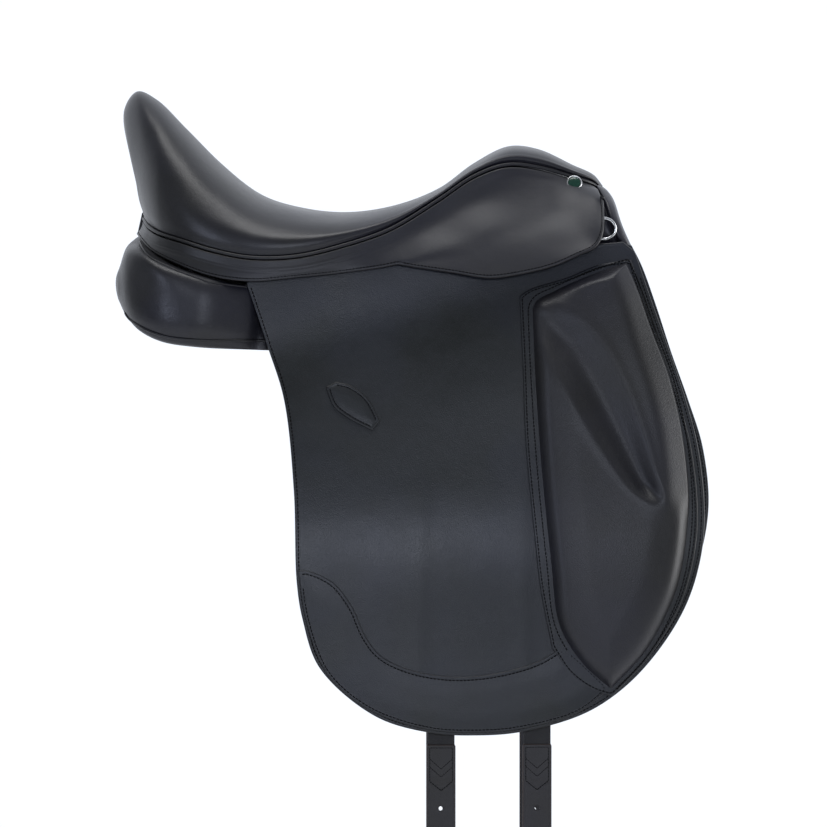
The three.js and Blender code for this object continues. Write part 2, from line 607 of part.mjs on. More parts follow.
function makeDeeTab() {
  const loop = DEE_TAB.map(([x, y]) => [DEE.x + x, DEE.y + y]);
  const [low, high] = DEE_TAB_HOLE_Z.map((z) => v3(DEE.x, DEE.y, z));
  return prismZ(loop, ...DEE_TAB_Z).subtract(rod(DEE_WIRE_R + GAP, low, high, 12));
}

// ---- panel -----------------------------------------------------------------------------------
const PANEL_TENSION = 0.35;
const LEAN_START = 150;             // the panel's sections start to lean here
const LEAN_RUN = 102;
// Room for the tree's head and bar boards.
const HEAD_CUT_OUTER = [[79, -19], [71, 25], [53, 57], [27, 71], [0, 74]];
const HEAD_CUT_INNER = [[0, 54], [17, 52.5], [39, 43.4], [54, 19], [62, -19]];
const BOARD_CUT = [[37, 86], [50, 86], [72, 56], [74, 20], [57, 20], [57, 46]];
const BOARD_CUT_X = [99, 208];
const FLAP_CUT = { middle: 110, out: 8, up: 3 };

function panelRing(t) {
  const count = PANEL[0].ring.length;
  const points = [];
  for (let j = 0; j < count; j++) {
    const along = curveOf(PANEL.map(({ x, ring }) => v3(x, ring[j][0], ring[j][1])));
    points.push(along.getPoint(t));
  }
  const lean = Math.max(0, (points[0].x - LEAN_START) / LEAN_RUN) * FRONT_LEAN;
  const ring = new THREE.CatmullRomCurve3(points, true, 'catmullrom', PANEL_TENSION);
  return ring.getPoints(PANEL_RING).slice(0, -1).map((p) => p.setX(p.x + lean * (FRONT_TOP - p.z)));
}

function makePanel() {
  const rings = [];
  for (let i = 0; i <= PANEL_ROWS; i++) rings.push(panelRing(i / PANEL_ROWS));
  const pad = loft(rings, alongX);
  const head = headArch(HEAD_CUT_OUTER, HEAD_CUT_INNER, [HEAD_X[0] - 1, HEAD_X[1] + 1]);
  const board = prismX(BOARD_CUT, ...BOARD_CUT_X);
  const widened = FLAP_OUTLINE.map(([x, z]) => [
    x + Math.sign(x - FLAP_CUT.middle) * FLAP_CUT.out, z + FLAP_CUT.up]);
  const flaps = sideCut(widened).intersect(layer(FLAP_FOLD, -FLAP_STACK, 120));
  const treeRing = shell(LAYERS.tree, LAYERS.spring);
  return pad.subtract(head).subtract(board).subtract(flaps).subtract(seatSolid(COVER))
    .subtract(treeRing).subtract(treeRing.translate([0, 0, -GAP])).subtract(makeSkirt(GAP));
}

// ---- front and back facings ------------------------------------------------------------------
const FACING_OUTER = [[84, 19], [80, 40], [66, 60], [38, 75], [0, 80]];
const FACING_INNER = [[0, 56], [26, 52], [42, 38], [50, 19]];
const FACING_THICKNESS = 6;
const FACING_SIDE = [-20, 60];      // offsets from the flap's face that the facing stays out of
const makeFrontFacing = () => {
  const x = PANEL.at(-1).x + FRONT_TOP * FRONT_LEAN + 1;
  const facing = headArch(FACING_OUTER, FACING_INNER, [x, x + FACING_THICKNESS], FRONT_LEAN);
  const side = layer(FLAP_FOLD, ...FACING_SIDE);
  return facing.subtract(seatSolid(0)).subtract(side).subtract(mirrored(side));
};

// The padded cover over the front of the tree's head, from the head to the front facing.
const HEAD_PAD_OUTER = [[64, 62.5], [61, 68], [50, 77], [38, 83], [13, 78.5], [0, 78.5]];
const HEAD_PAD_INNER = [[0, 66], [40, 62.5]];
const makeHeadPad = () => {
  const front = PANEL.at(-1).x + FRONT_TOP * FRONT_LEAN + 1 - GAP;
  const pad = headArch(HEAD_PAD_OUTER, HEAD_PAD_INNER, [HEAD_X[1] + 1, front], FRONT_LEAN, 0);
  const skirt = makeSkirt(GAP);
  return pad.subtract(seatSolid(0)).subtract(seatSolid(COVER)).subtract(makePiping(GAP))
    .subtract(skirt).subtract(mirrored(skirt));
};

// The leather strip that closes the back of the cantle: its x, half width, height and slope.
const BAND = { x: [-220.5, -223], half: 17, top: 56, foot: 40, slope: 0.45 };

function makeCantleBand() {
  const { half, top, foot, slope } = BAND;
  const strip = [[-half, top], [half, top], [half, foot], [-half, foot]];
  const ring = (x) => strip.map(([y, z]) => v3(x - (top - z) * slope, y, z));
  return loft(BAND.x.map(ring), alongX);
}

const PIPING_RUN = { start: 0.02, length: 0.965, points: 19, inset: 1.4, steps: 60 };

function makePiping(grow = 0) {
  const side = (t) => {
    const p = WELT.getPoint(t);
    return v3(p.x, Math.max(0, p.y - PIPING_RUN.inset), p.z - PIPING_R - GAP);
  };
  const { start, length, points, steps } = PIPING_RUN;
  const half = Array.from({ length: points }, (_, i) => side(start + (i / (points - 1)) * length));
  const path = [...half, ...half.toReversed().map((p) => v3(p.x, -p.y, p.z))];
  const profile = new THREE.Shape();
  profile.absarc(0, 0, PIPING_R + grow, 0, Math.PI * 2);
  const geometry = new THREE.ExtrudeGeometry(profile, {
    steps, curveSegments: 3, bevelEnabled: false, extrudePath: curveOf(path),
  });
  return solidOf(geometry);
}

// ---- assembly --------------------------------------------------------------------------------
function mirrored(solid) {
  const mesh = solid.getMesh();
  const vertProperties = mesh.vertProperties.map((value, i) => (i % 3 === 1 ? -value : value));
  const triVerts = mesh.triVerts.slice();
  for (let i = 0; i < triVerts.length; i += 3) {
    [triVerts[i + 1], triVerts[i + 2]] = [triVerts[i + 2], triVerts[i + 1]];
  }
  return new wasm.Manifold(new wasm.Mesh({ numProp: 3, vertProperties, triVerts }));
}

const finish = (color, roughness, metalness = 0) => ({ color, roughness, metalness });
const FINISH = {
  seat_leather: finish(0x2b2c30, 0.42),
  flap_leather: finish(0x32363c, 0.55),
  block_leather: finish(0x37383b, 0.6),
  panel_leather: finish(0x2c2a2b, 0.5),
  strap_leather: finish(0x2e2c2e, 0.55),
  webbing: finish(0x2a2c30, 0.9),
  foam: finish(0xd8cfae, 0.95),
  tree_laminate: finish(0xb89468, 0.7),
  steel: finish(0xc9ccd0, 0.28, 1),
  enamel: finish(0x2f6a44, 0.25),
};

const group = new THREE.Group();

function add(name, solid, slot) {
  const mesh = new THREE.Mesh(geometryOf(solid), new THREE.MeshStandardMaterial(FINISH[slot]));
  mesh.name = name;
  group.add(mesh);
}

function addPair(name, solid, slot) {
  add(`${name}_left`, solid, slot);
  add(`${name}_right`, mirrored(solid), slot);
}

add('tree', makeTree(), 'tree_laminate');
add('gullet_plate', headArch(PLATE_OUTER, PLATE_INNER, HEAD_X), 'steel');
const strip = (depth, thickness, { x, y }) => shell(depth, depth + thickness).intersect(planBox(x, y));
add('seat_web_cross', strip(LAYERS.cross, WEB, CROSS_WEB), 'webbing');
add('seat_web_long', strip(LAYERS.long, WEB, LONG_WEB), 'webbing');
add('seat_foam', shell(LAYERS.foam, LAYERS.foam + FOAM).subtract(makePiping(GAP)), 'foam');
add('seat_cover', shell(0, COVER).subtract(makePiping(GAP)), 'seat_leather');
add('seat_piping', makePiping(), 'seat_leather');
add('front_facing', makeFrontFacing(), 'panel_leather');
add('head_pad', makeHeadPad(), 'panel_leather');
add('cantle_band', makeCantleBand(), 'seat_leather');

addPair('tree_spring', strip(LAYERS.spring, SPRING.thickness, SPRING), 'steel');
addPair('stirrup_bar', makeStirrupBar(), 'steel');
addPair('bar_latch', makeLatch(), 'steel');
addPair('latch_pin', latchPin(), 'steel');
addPair('bar_rivet_rear', makeRivet(RIVET_X[0]), 'steel');
addPair('bar_rivet_front', makeRivet(RIVET_X[1]), 'steel');
addPair('skirt', makeSkirt(), 'seat_leather');
addPair('skirt_lobe', makeSkirtLobe(), 'seat_leather');
addPair('saddle_nail', makeNail(), 'enamel');
addPair('dee_ring', makeDee(), 'steel');
addPair('dee_tab', makeDeeTab(), 'strap_leather');
addPair('flap_upper', makeFlapUpper(), 'flap_leather');
addPair('flap', makeFlap(), 'flap_leather');
addPair('thigh_block', makeBlock(), 'block_leather');
addPair('block_border', makeBorder(), 'flap_leather');
addPair('wear_patch', makeWearPatch(), 'flap_leather');
addPair('strap_keeper', makeKeeper(), 'flap_leather');
addPair('sweat_flap', makeSweatFlap(), 'flap_leather');
addPair('panel', makePanel(), 'panel_leather');
for (const [where, x] of Object.entries(BILLET_X)) {
  addPair(`billet_web_${where}`, billetWeb(x), 'webbing');
  addPair(`billet_${where}`, billetStrap(x), 'strap_leather');
}

export default group;
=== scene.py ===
import json
import math

import bmesh
import bpy
import numpy as np
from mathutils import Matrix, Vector
from mathutils.geometry import delaunay_2d_cdt


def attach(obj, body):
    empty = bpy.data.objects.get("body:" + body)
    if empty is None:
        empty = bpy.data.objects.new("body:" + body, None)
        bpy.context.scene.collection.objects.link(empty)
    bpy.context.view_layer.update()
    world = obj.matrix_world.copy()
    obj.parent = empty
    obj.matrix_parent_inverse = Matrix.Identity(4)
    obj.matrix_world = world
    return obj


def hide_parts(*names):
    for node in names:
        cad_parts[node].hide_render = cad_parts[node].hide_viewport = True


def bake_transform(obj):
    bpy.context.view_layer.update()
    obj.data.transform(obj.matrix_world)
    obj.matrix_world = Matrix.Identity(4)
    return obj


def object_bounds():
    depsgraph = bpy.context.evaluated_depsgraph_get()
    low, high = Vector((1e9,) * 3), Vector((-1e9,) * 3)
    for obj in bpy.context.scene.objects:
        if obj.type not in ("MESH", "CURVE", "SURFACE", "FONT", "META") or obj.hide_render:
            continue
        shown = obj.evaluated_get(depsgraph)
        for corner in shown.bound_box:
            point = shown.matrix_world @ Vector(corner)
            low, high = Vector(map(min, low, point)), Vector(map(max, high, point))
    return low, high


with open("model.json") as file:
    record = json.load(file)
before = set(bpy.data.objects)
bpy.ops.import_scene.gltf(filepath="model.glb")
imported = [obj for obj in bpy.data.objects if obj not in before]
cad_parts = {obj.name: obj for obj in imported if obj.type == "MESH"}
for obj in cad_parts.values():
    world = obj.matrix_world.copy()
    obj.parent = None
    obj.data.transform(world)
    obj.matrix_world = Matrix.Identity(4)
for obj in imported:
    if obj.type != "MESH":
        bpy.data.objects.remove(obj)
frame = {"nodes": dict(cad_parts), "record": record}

CAD_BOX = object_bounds()
MM = 0.001
SIDES = {"left": 1, "right": -1}

# ---- design, in millimetres, as the frame has it ----
SEAT_CREST = [
    (245, 87), (236, 98), (215, 108), (180, 124), (150, 127), (115, 110), (80, 85), (35, 68), (-15, 61),
    (-60, 66), (-100, 79), (-140, 109), (-176, 144.5), (-206, 174), (-226, 182.5), (-239.5, 163), (-231, 112),
    (-219, 66),
]
SEAT_WELT = [
    (243, 10, 83), (234, 30, 92), (217, 44, 98), (180, 56, 109), (148, 64, 112), (115, 73, 101),
    (77, 86, 76), (30, 106, 48), (-20, 124, 31), (-65, 134, 21), (-110, 136, 20), (-148, 130, 27),
    (-178, 118, 36), (-201, 98, 43), (-212, 73, 49), (-217, 43, 54), (-219, 17, 57), (-218, 5, 57),
]
# The arches' form by station: 1 is an ellipse, less is squarer and more is more pointed.
SEAT_FORM = [(0, 0.78), (8.5, 0.78), (11, 0.9), (13, 0.95), (17, 0.95)]
DISH_DEPTH, DISH_HALF = 1.8, 42          # the hollow down the seat's middle
COVER_THICKNESS, COVER_RISE = 5, 3.0     # the seat cover, and how far its inner face is lifted
SKIRT_EDGE = [
    (243, 79.2, 75.5), (232, 81.3, 71.3), (190, 89.2, 58.2), (156, 95.6, 47.4), (122, 102, 36.7),
    (82, 109.9, 24.2), (38, 118.5, 10.6), (-14, 125.5, 2), (-62, 134, -3), (-110, 139, -6.5),
    (-150, 136, -1), (-183, 124, 10.5), (-208, 103, 22), (-219, 76, 31), (-224, 46, 36), (-227, 14, 38.5),
]
SKIRT_LOBE = [
    (243, 76), (244.5, 60), (243, 41), (236, 28), (220, 20), (195, 9), (169, 2.4), (131, -3), (95, 2),
    (60, 7), (38, 10.5),
]
PIPING_DROP, PIPING_PULL, PIPING_RADIUS = 2.6, 0.9, 1.9   # below the welt, in from it, and its radius
SKIRT_STATION = 1            # the seat station that the skirt starts at
SKIRT_DROP = 5.2             # from the welt to the skirt's top edge
SKIRT_THICKNESS = 3.5
SKIRT_OUT = 1.2              # the skirt's top edge stands this far outside the welt
SKIRT_SHOULDER = np.array([(0.2, 0.2, 0.4), (0.5, 0.36, 0.32)])   # its bend, along the seat and at the nose
SKIRT_STEPS = 240            # steps down each of the skirt's columns, before rows are picked
SKIRT_STITCHED = 3.3         # from the skirt's lower edge to its stitches
# Fullness over the stirrup bar's catch and over the lifting flap: [x, z, wide, tall, out].
SKIRT_ROOM = [(120, 50, 30, 18, 3.0), (216, 14, 34, 14, 2.2), (245, 45, 14, 20, 3.0)]
FLAP_FOLD = {
    "x": -75, "z": -77, "rise": 0.2966, "at": 136, "taper": -0.14,
    "curve": [(-100, -15), (-50, -8), (0, 0), (50, 14), (100, 26), (160, 36), (230, 45), (310, 52),
              (400, 57), (520, 61)],
}
SKIRT_FOLD = {
    "x": 40, "z": 10, "rise": 0.314, "at": 118, "taper": -0.184,
    "curve": [(-40, -20), (0, 0), (20, 11), (40, 21), (60, 28), (90, 35)],
}
FLAP_EDGE = [
    (-114, -9), (-93, -71), (-76, -125), (-66, -215), (-63, -305), (-57, -343), (-40, -391),
    (15, -439), (70, -456), (115, -459), (160, -456), (222, -439), (261, -415), (296, -379),
    (326, -331), (341, -283), (345, -237), (339, -175), (327, -127), (311, -79), (294, -31), (276, 22),
]
FLAP_TOP = [(264, 32), (240, 30), (200, 26), (130, 12), (90, 10), (50, 12), (-30, 10), (-108, 8)]
SWEAT_EDGE = [
    (-84, -70), (-66, -125), (-56, -215), (-53, -305), (-31, -385), (19, -429), (115, -449),
    (218, -430), (258, -404), (292, -368), (334, -300), (349, -237), (344, -175), (329.5, -127),
    (312.5, -79), (297, -31), (283, 8), (273, 28),
]
SWEAT_TOP = [(264, 31), (100, -22), (-60, -68)]
BORDER_RUNS = [
    [(160, -22), (163, -90), (166, -170), (175, -265), (180, -310), (192, -372)],
    [(192, -372), (210, -398), (232, -414), (252, -421)],
    [(252, -421), (290, -381), (320, -331), (334, -283), (338, -237), (332, -175), (320, -127),
     (304, -79), (287, -31), (272, 14)],
    [(272, 14), (240, 9), (207, -4), (171, -15), (160, -22)],
]
BLOCK_RUNS = [
    [(171, -34), (173, -90), (179, -184), (189, -285), (198, -351), (222, -390), (251, -416)],
    [(251, -416), (287, -377), (315, -324), (326, -281), (330, -228), (324, -160), (311, -103),
     (294, -57), (279, -14), (268, 12)],
    [(268, 12), (238, 2), (194, -16), (176, -25), (171, -34)],
]
WEAR_RUNS = [
    [(-62, -293), (-52, -294), (-38, -299), (-24, -308), (-7, -331), (5, -358), (20, -378), (47, -392),
     (88, -400), (131, -398), (177, -386), (203, -371)],
    [(203, -371), (215, -380), (250, -413)],
    [(250, -413), (218, -437), (158, -453), (115, -456), (70, -453), (16, -436), (-19, -412),
     (-38, -388), (-54, -342), (-60, -305), (-62, -293)],
]
KEEPER_RUNS = [
    [(-34, -112), (-24, -107)],
    [(-24, -107), (-9, -111), (8, -124), (20, -146)],
    [(20, -146), (12, -155)],
    [(12, -155), (-11, -143), (-26, -131), (-34, -112)],
]
PANEL = [
    (-243, [(54, 3), (72, 4), (92, 1), (98, -14), (88, -26), (60, -22), (50, -12)]),
    (-234, [(42, 24), (80, 26), (112, 17), (118, -10), (106, -42), (62, -36), (40, -20)]),
    (-220, [(36, 33), (84, 30), (126, 18), (130, -12), (120, -56), (70, -44), (36, -26)]),
    (-198, [(34, 20), (84, 16), (138, 8), (142, -20), (132, -66), (76, -52), (33, -30)]),
    (-165, [(33, -2), (98, -4), (138, -1), (147, -28), (138, -71), (80, -56), (33, -34)]),
    (-110, [(32, -19), (114, -19), (134, -12), (147, -36), (138, -74), (80, -58), (32, -36)]),
    (-50, [(32, -19), (106, -19), (122, -12), (138, -36), (132, -76), (78, -60), (32, -36)]),
    (10, [(32, -4), (92, -4), (106, -6), (128, -36), (124, -78), (78, -60), (33, -28)]),
    (70, [(33, 28), (62, 28), (90, 8), (114, -36), (112, -80), (76, -58), (40, -6)]),
    (130, [(35, 58), (50, 50), (80, 6), (106, -36), (104, -80), (78, -58), (46, 8)]),
    (180, [(36, 60), (50, 46), (74, 6), (98, -36), (98, -76), (76, -58), (48, 8)]),
    (252, [(36, 58), (56, 50), (68, 14), (82, -30), (80, -62), (66, -52), (50, 8)]),
]
FRONT_LEAN, FRONT_TOP = 0.47, 60   # the panels' front end leans forward below this height
LEAN_START = 150
GUSSET = [(-243, -26), (-234, -42), (-220, -52), (-198, -61), (-165, -65), (-110, -66), (-50, -68), (60, -74)]
PANEL_ROOM = 15.2                  # kept between the flap's outer face and the panel
FLAP_THICKNESS = 4.0
FLAP_FULLNESS = 8.0           # how far the flap's middle stands out
SWEAT_INNER, SWEAT_OUTER = -13.4, -10.8   # the sweat flap's faces, from the flap's outer face
BILLET_X = {"rear": 81, "front": 177}
BILLET_TOP = -467
BILLET_LENGTH = 259
BILLET_WIDTH = 29
BILLET_DEPTH = 7.5           # billets hang this far inside the flap's outer face
HOLE_FIRST, HOLE_PITCH, HOLE_COUNT, HOLE_R = 65, 25, 7, 2.4
NAIL_AT = (214.5, 90)        # the nail in the side view
NAIL_SEAT = [216, 53.2, 89]  # the place on the skirt where it sits, set when the skirt is made
DEE = {"x": 241, "y": 82.5, "low": 34.5, "high": 55.5, "reach": 16, "turn": 0.26, "wire": 1.6}

# A thread's [pitch, length of one stitch, radius].
STITCH = (3.8, 2.3, 0.6)
SKIRT_STITCH = (3.5, 2.4, 0.46)
KEEPER_STITCH = (3.1, 2.1, 0.42)
BILLET_STITCH = (2.7, 1.9, 0.36)
EDGE_WEAR = 0.9              # how far the worn colour reaches from a cut edge
GROOVE = (0.06, 0.9)         # the depth and spread of the dip along a row of stitches


# ---- curves ----
def curve_point(points, t, closed=False):
    """A point on the centripetal Catmull-Rom curve through points, t running from 0 to 1."""
    p = np.asarray(points, float)
    n = len(p)
    at = (n if closed else n - 1) * t
    i = int(math.floor(at))
    w = at - i
    if not closed and i >= n - 1:
        i, w = n - 2, 1.0
    before = p[(i - 1) % n] if closed or i > 0 else 2 * p[0] - p[1]
    a, b = p[i % n], p[(i + 1) % n]
    after = p[(i + 2) % n] if closed or i + 2 < n else 2 * p[-1] - p[-2]
    d0, d1, d2 = (max(np.linalg.norm(q - r), 1e-6) ** 0.5 for q, r in ((a, before), (b, a), (after, b)))
    m1 = ((a - before) / d0 - (b - before) / (d0 + d1) + (b - a) / d1) * d1
    m2 = ((b - a) / d1 - (after - a) / (d1 + d2) + (after - b) / d2) * d1
    w2, w3 = w * w, w * w * w
    return (2 * w3 - 3 * w2 + 1) * a + (w3 - 2 * w2 + w) * m1 + (3 * w2 - 2 * w3) * b + (w3 - w2) * m2


def resample(points, step=None, count=None, closed=False):
    """Evenly spaced points along a polyline."""
    p = np.asarray(points, float)
    if closed:
        p = np.vstack([p, p[:1]])
    along = np.concatenate([[0], np.cumsum(np.linalg.norm(np.diff(p, axis=0), axis=1))])
    n = count or max(2, int(round(along[-1] / step)))
    at = np.linspace(0, along[-1], n + 1)
    out = np.stack([np.interp(at, along, p[:, k]) for k in range(p.shape[1])], axis=1)
    return out[:-1] if closed else out


def smooth_run(points, step):
    dense = [curve_point(points, t) for t in np.linspace(0, 1, 24 * len(points))]
    return resample(dense, step=step)


def outline(runs, step=2.6):
    """One closed outline from smooth runs that meet at corners, counter-clockwise."""
    loop = np.vstack([smooth_run(run, step)[:-1] for run in runs])
    x, z = loop[:, 0], loop[:, 1]
    area = np.sum(x * np.roll(z, -1) - np.roll(x, -1) * z)
    return loop if area > 0 else loop[::-1]


def smooth_table(table, at):
    """Smooth interpolation through a table of [place, value]."""
    s = np.array([row[0] for row in table], float)
    v = np.array([row[1] for row in table], float)
    slope = np.gradient(v, s)
    at = np.clip(np.asarray(at, float), s[0], s[-1])
    i = np.clip(np.searchsorted(s, at) - 1, 0, len(s) - 2)
    h = s[i + 1] - s[i]
    t = (at - s[i]) / h
    t2, t3 = t * t, t * t * t
    return ((2 * t3 - 3 * t2 + 1) * v[i] + (t3 - 2 * t2 + t) * h * slope[i]
            + (3 * t2 - 2 * t3) * v[i + 1] + (t3 - t2) * h * slope[i + 1])


def fold_coordinates(fold, x, z):
    length = math.hypot(1, fold["rise"])
    c, k = 1 / length, fold["rise"] / length
    dx, dz = x - fold["x"], z - fold["z"]
    return dx * c + dz * k, dx * k - dz * c


def fold_width(fold, x, z):
    """Half width of a folding leather's outer face at a place in the side view."""
    u, s = fold_coordinates(fold, np.asarray(x, float), np.asarray(z, float))
    return fold["at"] + fold["taper"] * u + smooth_table(fold["curve"], s)


def flap_width(x, z):
    """The flap's outer face, a little fuller round the middle, as leather hangs."""
    return fold_width(FLAP_FOLD, x, z) + FLAP_FULLNESS * bump(np.asarray(z, float), -262, 82)


def bump(value, centre, width):
    return np.exp(-((value - centre) / width) ** 2)


def step_up(value, low, high):
    t = np.clip((value - low) / (high - low), 0, 1)
    return t * t * (3 - 2 * t)


def round_angles(count):
    return np.arange(count) * 2 * math.pi / count


# ---- meshes ----
def make_object(name, points, faces, side=1, material=None, edge=None):
    """points are in millimetres for the left side; side -1 mirrors them."""
    pts = np.asarray(points, float) * [1, side, 1] * MM
    if side < 0:
        faces = [tuple(reversed(f)) for f in faces]
    mesh = bpy.data.meshes.new(name)
    mesh.from_pydata(pts.tolist(), [], [tuple(int(i) for i in f) for f in faces])
    mesh.update()
    bm = bmesh.new()
    bm.from_mesh(mesh)
    if edge is not None:
        layer = bm.verts.layers.float.new("edge")
        for v, value in zip(bm.verts, edge):
            v[layer] = float(value)
    bmesh.ops.remove_doubles(bm, verts=bm.verts, dist=1e-6)
    bmesh.ops.recalc_face_normals(bm, faces=bm.faces)
    bm.to_mesh(mesh)
    bm.free()
    mesh.shade_smooth()
    if material:
        mesh.materials.append(material)
    return add_object(name, mesh)


def add_object(name, data):
    obj = bpy.data.objects.new(name, data)
    bpy.context.scene.collection.objects.link(obj)
    return obj


def join_parts(parts):
    points, faces, base = [], [], 0
    for p, f in parts:
        points.append(np.asarray(p, float))
        faces += [tuple(i + base for i in face) for face in f]
        base += len(p)
    return np.vstack(points), faces


def distance_to(points, line, closed=True):
    """Distance from each point to a polyline, in the side view."""
    p = np.asarray(points, float)
    a = np.asarray(line, float)
    b = np.roll(a, -1, axis=0)
    if not closed:
        a, b = a[:-1], b[:-1]
    ab = b - a
    size = np.maximum((ab ** 2).sum(1), 1e-12)
    best = np.full(len(p), 1e9)
    for i in range(0, len(p), 400):
        q = p[i:i + 400, None, :]
        t = np.clip(((q - a) * ab).sum(2) / size, 0, 1)
        best[i:i + 400] = np.sqrt((((q - a) - t[..., None] * ab) ** 2).sum(2)).min(1)
    return best


def inside(points, loop):
    p = np.asarray(points, float)
    x, z = p[:, 0:1], p[:, 1:2]
    ax, az = loop[:, 0], loop[:, 1]
    bx, bz = np.roll(ax, -1), np.roll(az, -1)
    crosses = (az > z) != (bz > z)
    span = np.where(bz == az, 1e-9, bz - az)
    return ((x < (bx - ax) * (z - az) / span + ax) & crosses).sum(1) % 2 == 1


def offset_line(loop, distance):
    """The closed line that runs a distance inside a counter-clockwise outline."""
    ahead = np.roll(loop, -1, axis=0) - np.roll(loop, 1, axis=0)
    ahead /= np.maximum(np.linalg.norm(ahead, axis=1, keepdims=True), 1e-9)
    moved = loop + np.stack([-ahead[:, 1], ahead[:, 0]], axis=1) * distance
    return moved[distance_to(moved, loop) > distance - 0.12]


EDGE_ROWS = (0.22, 0.65, 1.3, 2.1, 2.7, 3.2, 3.7, 4.5, 6.5)
BACK_LIFT = (1.0, 0.8)       # a sheet's back edge is rounded this far in, and this high


def triangulate(loop, cell, rows=EDGE_ROWS):
    """Points and triangles that fill an outline, with rows close to its edge."""
    inner = [offset_line(loop, d) for d in rows]
    low, high = loop.min(0), loop.max(0)
    xs = np.arange(low[0], high[0], cell)
    zs = np.arange(low[1], high[1], cell * 0.87)
    grid = np.array([(x + (j % 2) * cell / 2, z) for j, z in enumerate(zs) for x in xs])
    grid = grid[inside(grid, loop)]
    grid = grid[distance_to(grid, loop) > (rows[-1] if rows else 0) + cell * 0.45]
    points = np.vstack([loop] + inner + [grid])
    n = len(loop)
    edges = [(i, (i + 1) % n) for i in range(n)]
    verts, _, faces, *_ = delaunay_2d_cdt([Vector(p) for p in points], edges, [], 1, 1e-4)
    return np.array([tuple(v) for v in verts]), [tuple(f) for f in faces]


def edge_drop(d, radius):
    """How far a rounded edge lies below the face, at distance d from the edge."""
    return np.where(d < radius, radius - np.sqrt(np.maximum(radius ** 2 - (radius - d) ** 2, 0)), 0)


def back_lift(d):
    reach, height = BACK_LIFT
    return np.where(d < reach, reach - d, 0) * height


def edge_wear(*distances):
    return np.concatenate([np.exp(-d / EDGE_WEAR).ravel() for d in distances])


def leather_sheet(loop, width, inner, outer, cell=6.0, round_r=1.3, grooves=(), shape=None):
    """A closed leather sheet over an outline in the side view, between two offsets of a surface.
    Its edge is rounded, and shape(x, z, d) adds to the outer face at distance d from the edge."""
    pts, tris = triangulate(loop, cell)
    d = distance_to(pts, loop)
    x, z = pts[:, 0], pts[:, 1]
    y = width(x, z) + outer - edge_drop(d, round_r)
    for at, depth, spread in grooves:
        y = y - depth * bump(d, at, spread)
    if shape is not None:
        y = y + shape(x, z, d)
    back_pts, back_tris = triangulate(loop, max(cell, 7) * 1.6, rows=(1.4,))
    db = distance_to(back_pts, loop)
    back = on_surface(back_pts, width, inner + back_lift(db))
    base = len(pts)
    faces = list(tris) + [tuple(i + base for i in reversed(f)) for f in back_tris]
    rim = list(zip(loop_indices(pts, loop), loop_indices(back_pts, loop)))
    for (a, a_back), (b, b_back) in zip(rim, rim[1:] + rim[:1]):
        faces.append((a, a_back + base, b_back + base, b))
    return np.vstack([np.stack([x, y, z], axis=1), back]), faces, edge_wear(d, db)


def loop_indices(points, loop):
    return [int(np.argmin(((points - p) ** 2).sum(1))) for p in loop]


def tube(path, radius, sides=10, closed=False, up=(0, 0, 1)):
    """Points and faces of a tube along a path, with round caps where it's open."""
    p = np.asarray(path, float)
    n = len(p)
    ahead = np.roll(p, -1, axis=0) - np.roll(p, 1, axis=0)
    if not closed:
        ahead[0], ahead[-1] = p[1] - p[0], p[-1] - p[-2]
    ahead /= np.maximum(np.linalg.norm(ahead, axis=1, keepdims=True), 1e-9)
    side = np.cross(ahead, np.asarray(up, float))
    side /= np.maximum(np.linalg.norm(side, axis=1, keepdims=True), 1e-9)
    over = np.cross(side, ahead)
    rings, scale = [p], np.ones(n)
    if not closed:
        rings = [p[:1] - ahead[:1] * radius * 0.75, p, p[-1:] + ahead[-1:] * radius * 0.75]
        scale = np.concatenate([[0.45], np.ones(n), [0.45]])
        side = np.vstack([side[:1], side, side[-1:]])
        over = np.vstack([over[:1], over, over[-1:]])
    centre = np.vstack(rings)
    angle = round_angles(sides)
    ring = centre[:, None, :] + radius * scale[:, None, None] * (
        np.cos(angle)[None, :, None] * side[:, None, :] + np.sin(angle)[None, :, None] * over[:, None, :])
    m = len(centre)
    faces = grid_faces(m, sides, wrap=True)
    if closed:
        last = (m - 1) * sides
        faces += [(last + j, last + (j + 1) % sides, (j + 1) % sides, j) for j in range(sides)]
    else:
        faces += end_faces(m, sides)
    return ring.reshape(-1, 3), faces


def stitch_run(path, normal, stitch=STITCH, closed=False):
    """Separate thread stitches along a path; normal gives the leather's outward direction."""
    pitch, length, radius = stitch
    p = resample(path, step=pitch, closed=closed)
    count = len(p) if closed else len(p) - 1
    parts = []
    for i in range(count):
        a, b = p[i], p[(i + 1) % len(p)]
        ahead = (b - a) / max(np.linalg.norm(b - a), 1e-9)
        middle = (a + b) / 2
        n = np.asarray(normal(middle) if callable(normal) else normal, float)
        line = [middle + ahead * length * s + n * (radius * (0.55 - 1.9 * abs(s) ** 1.5)) for s in
                (-0.5, -0.25, 0, 0.25, 0.5)]
        parts.append(tube(line, radius, sides=6, up=n))
    return parts


def on_surface(path, width, lift):
    p = np.asarray(path, float)
    return np.stack([p[:, 0], width(p[:, 0], p[:, 1]) + lift, p[:, 1]], axis=1)


def grid_faces(rows, columns, wrap=False):
    faces = []
    for i in range(rows - 1):
        for j in range(columns if wrap else columns - 1):
            k = (j + 1) % columns
            faces.append((i * columns + j, i * columns + k, (i + 1) * columns + k, (i + 1) * columns + j))
    return faces


def end_faces(rows, columns):
    """The two end faces of a wrapped grid."""
    return [tuple(reversed(range(columns))), tuple((rows - 1) * columns + j for j in range(columns))]


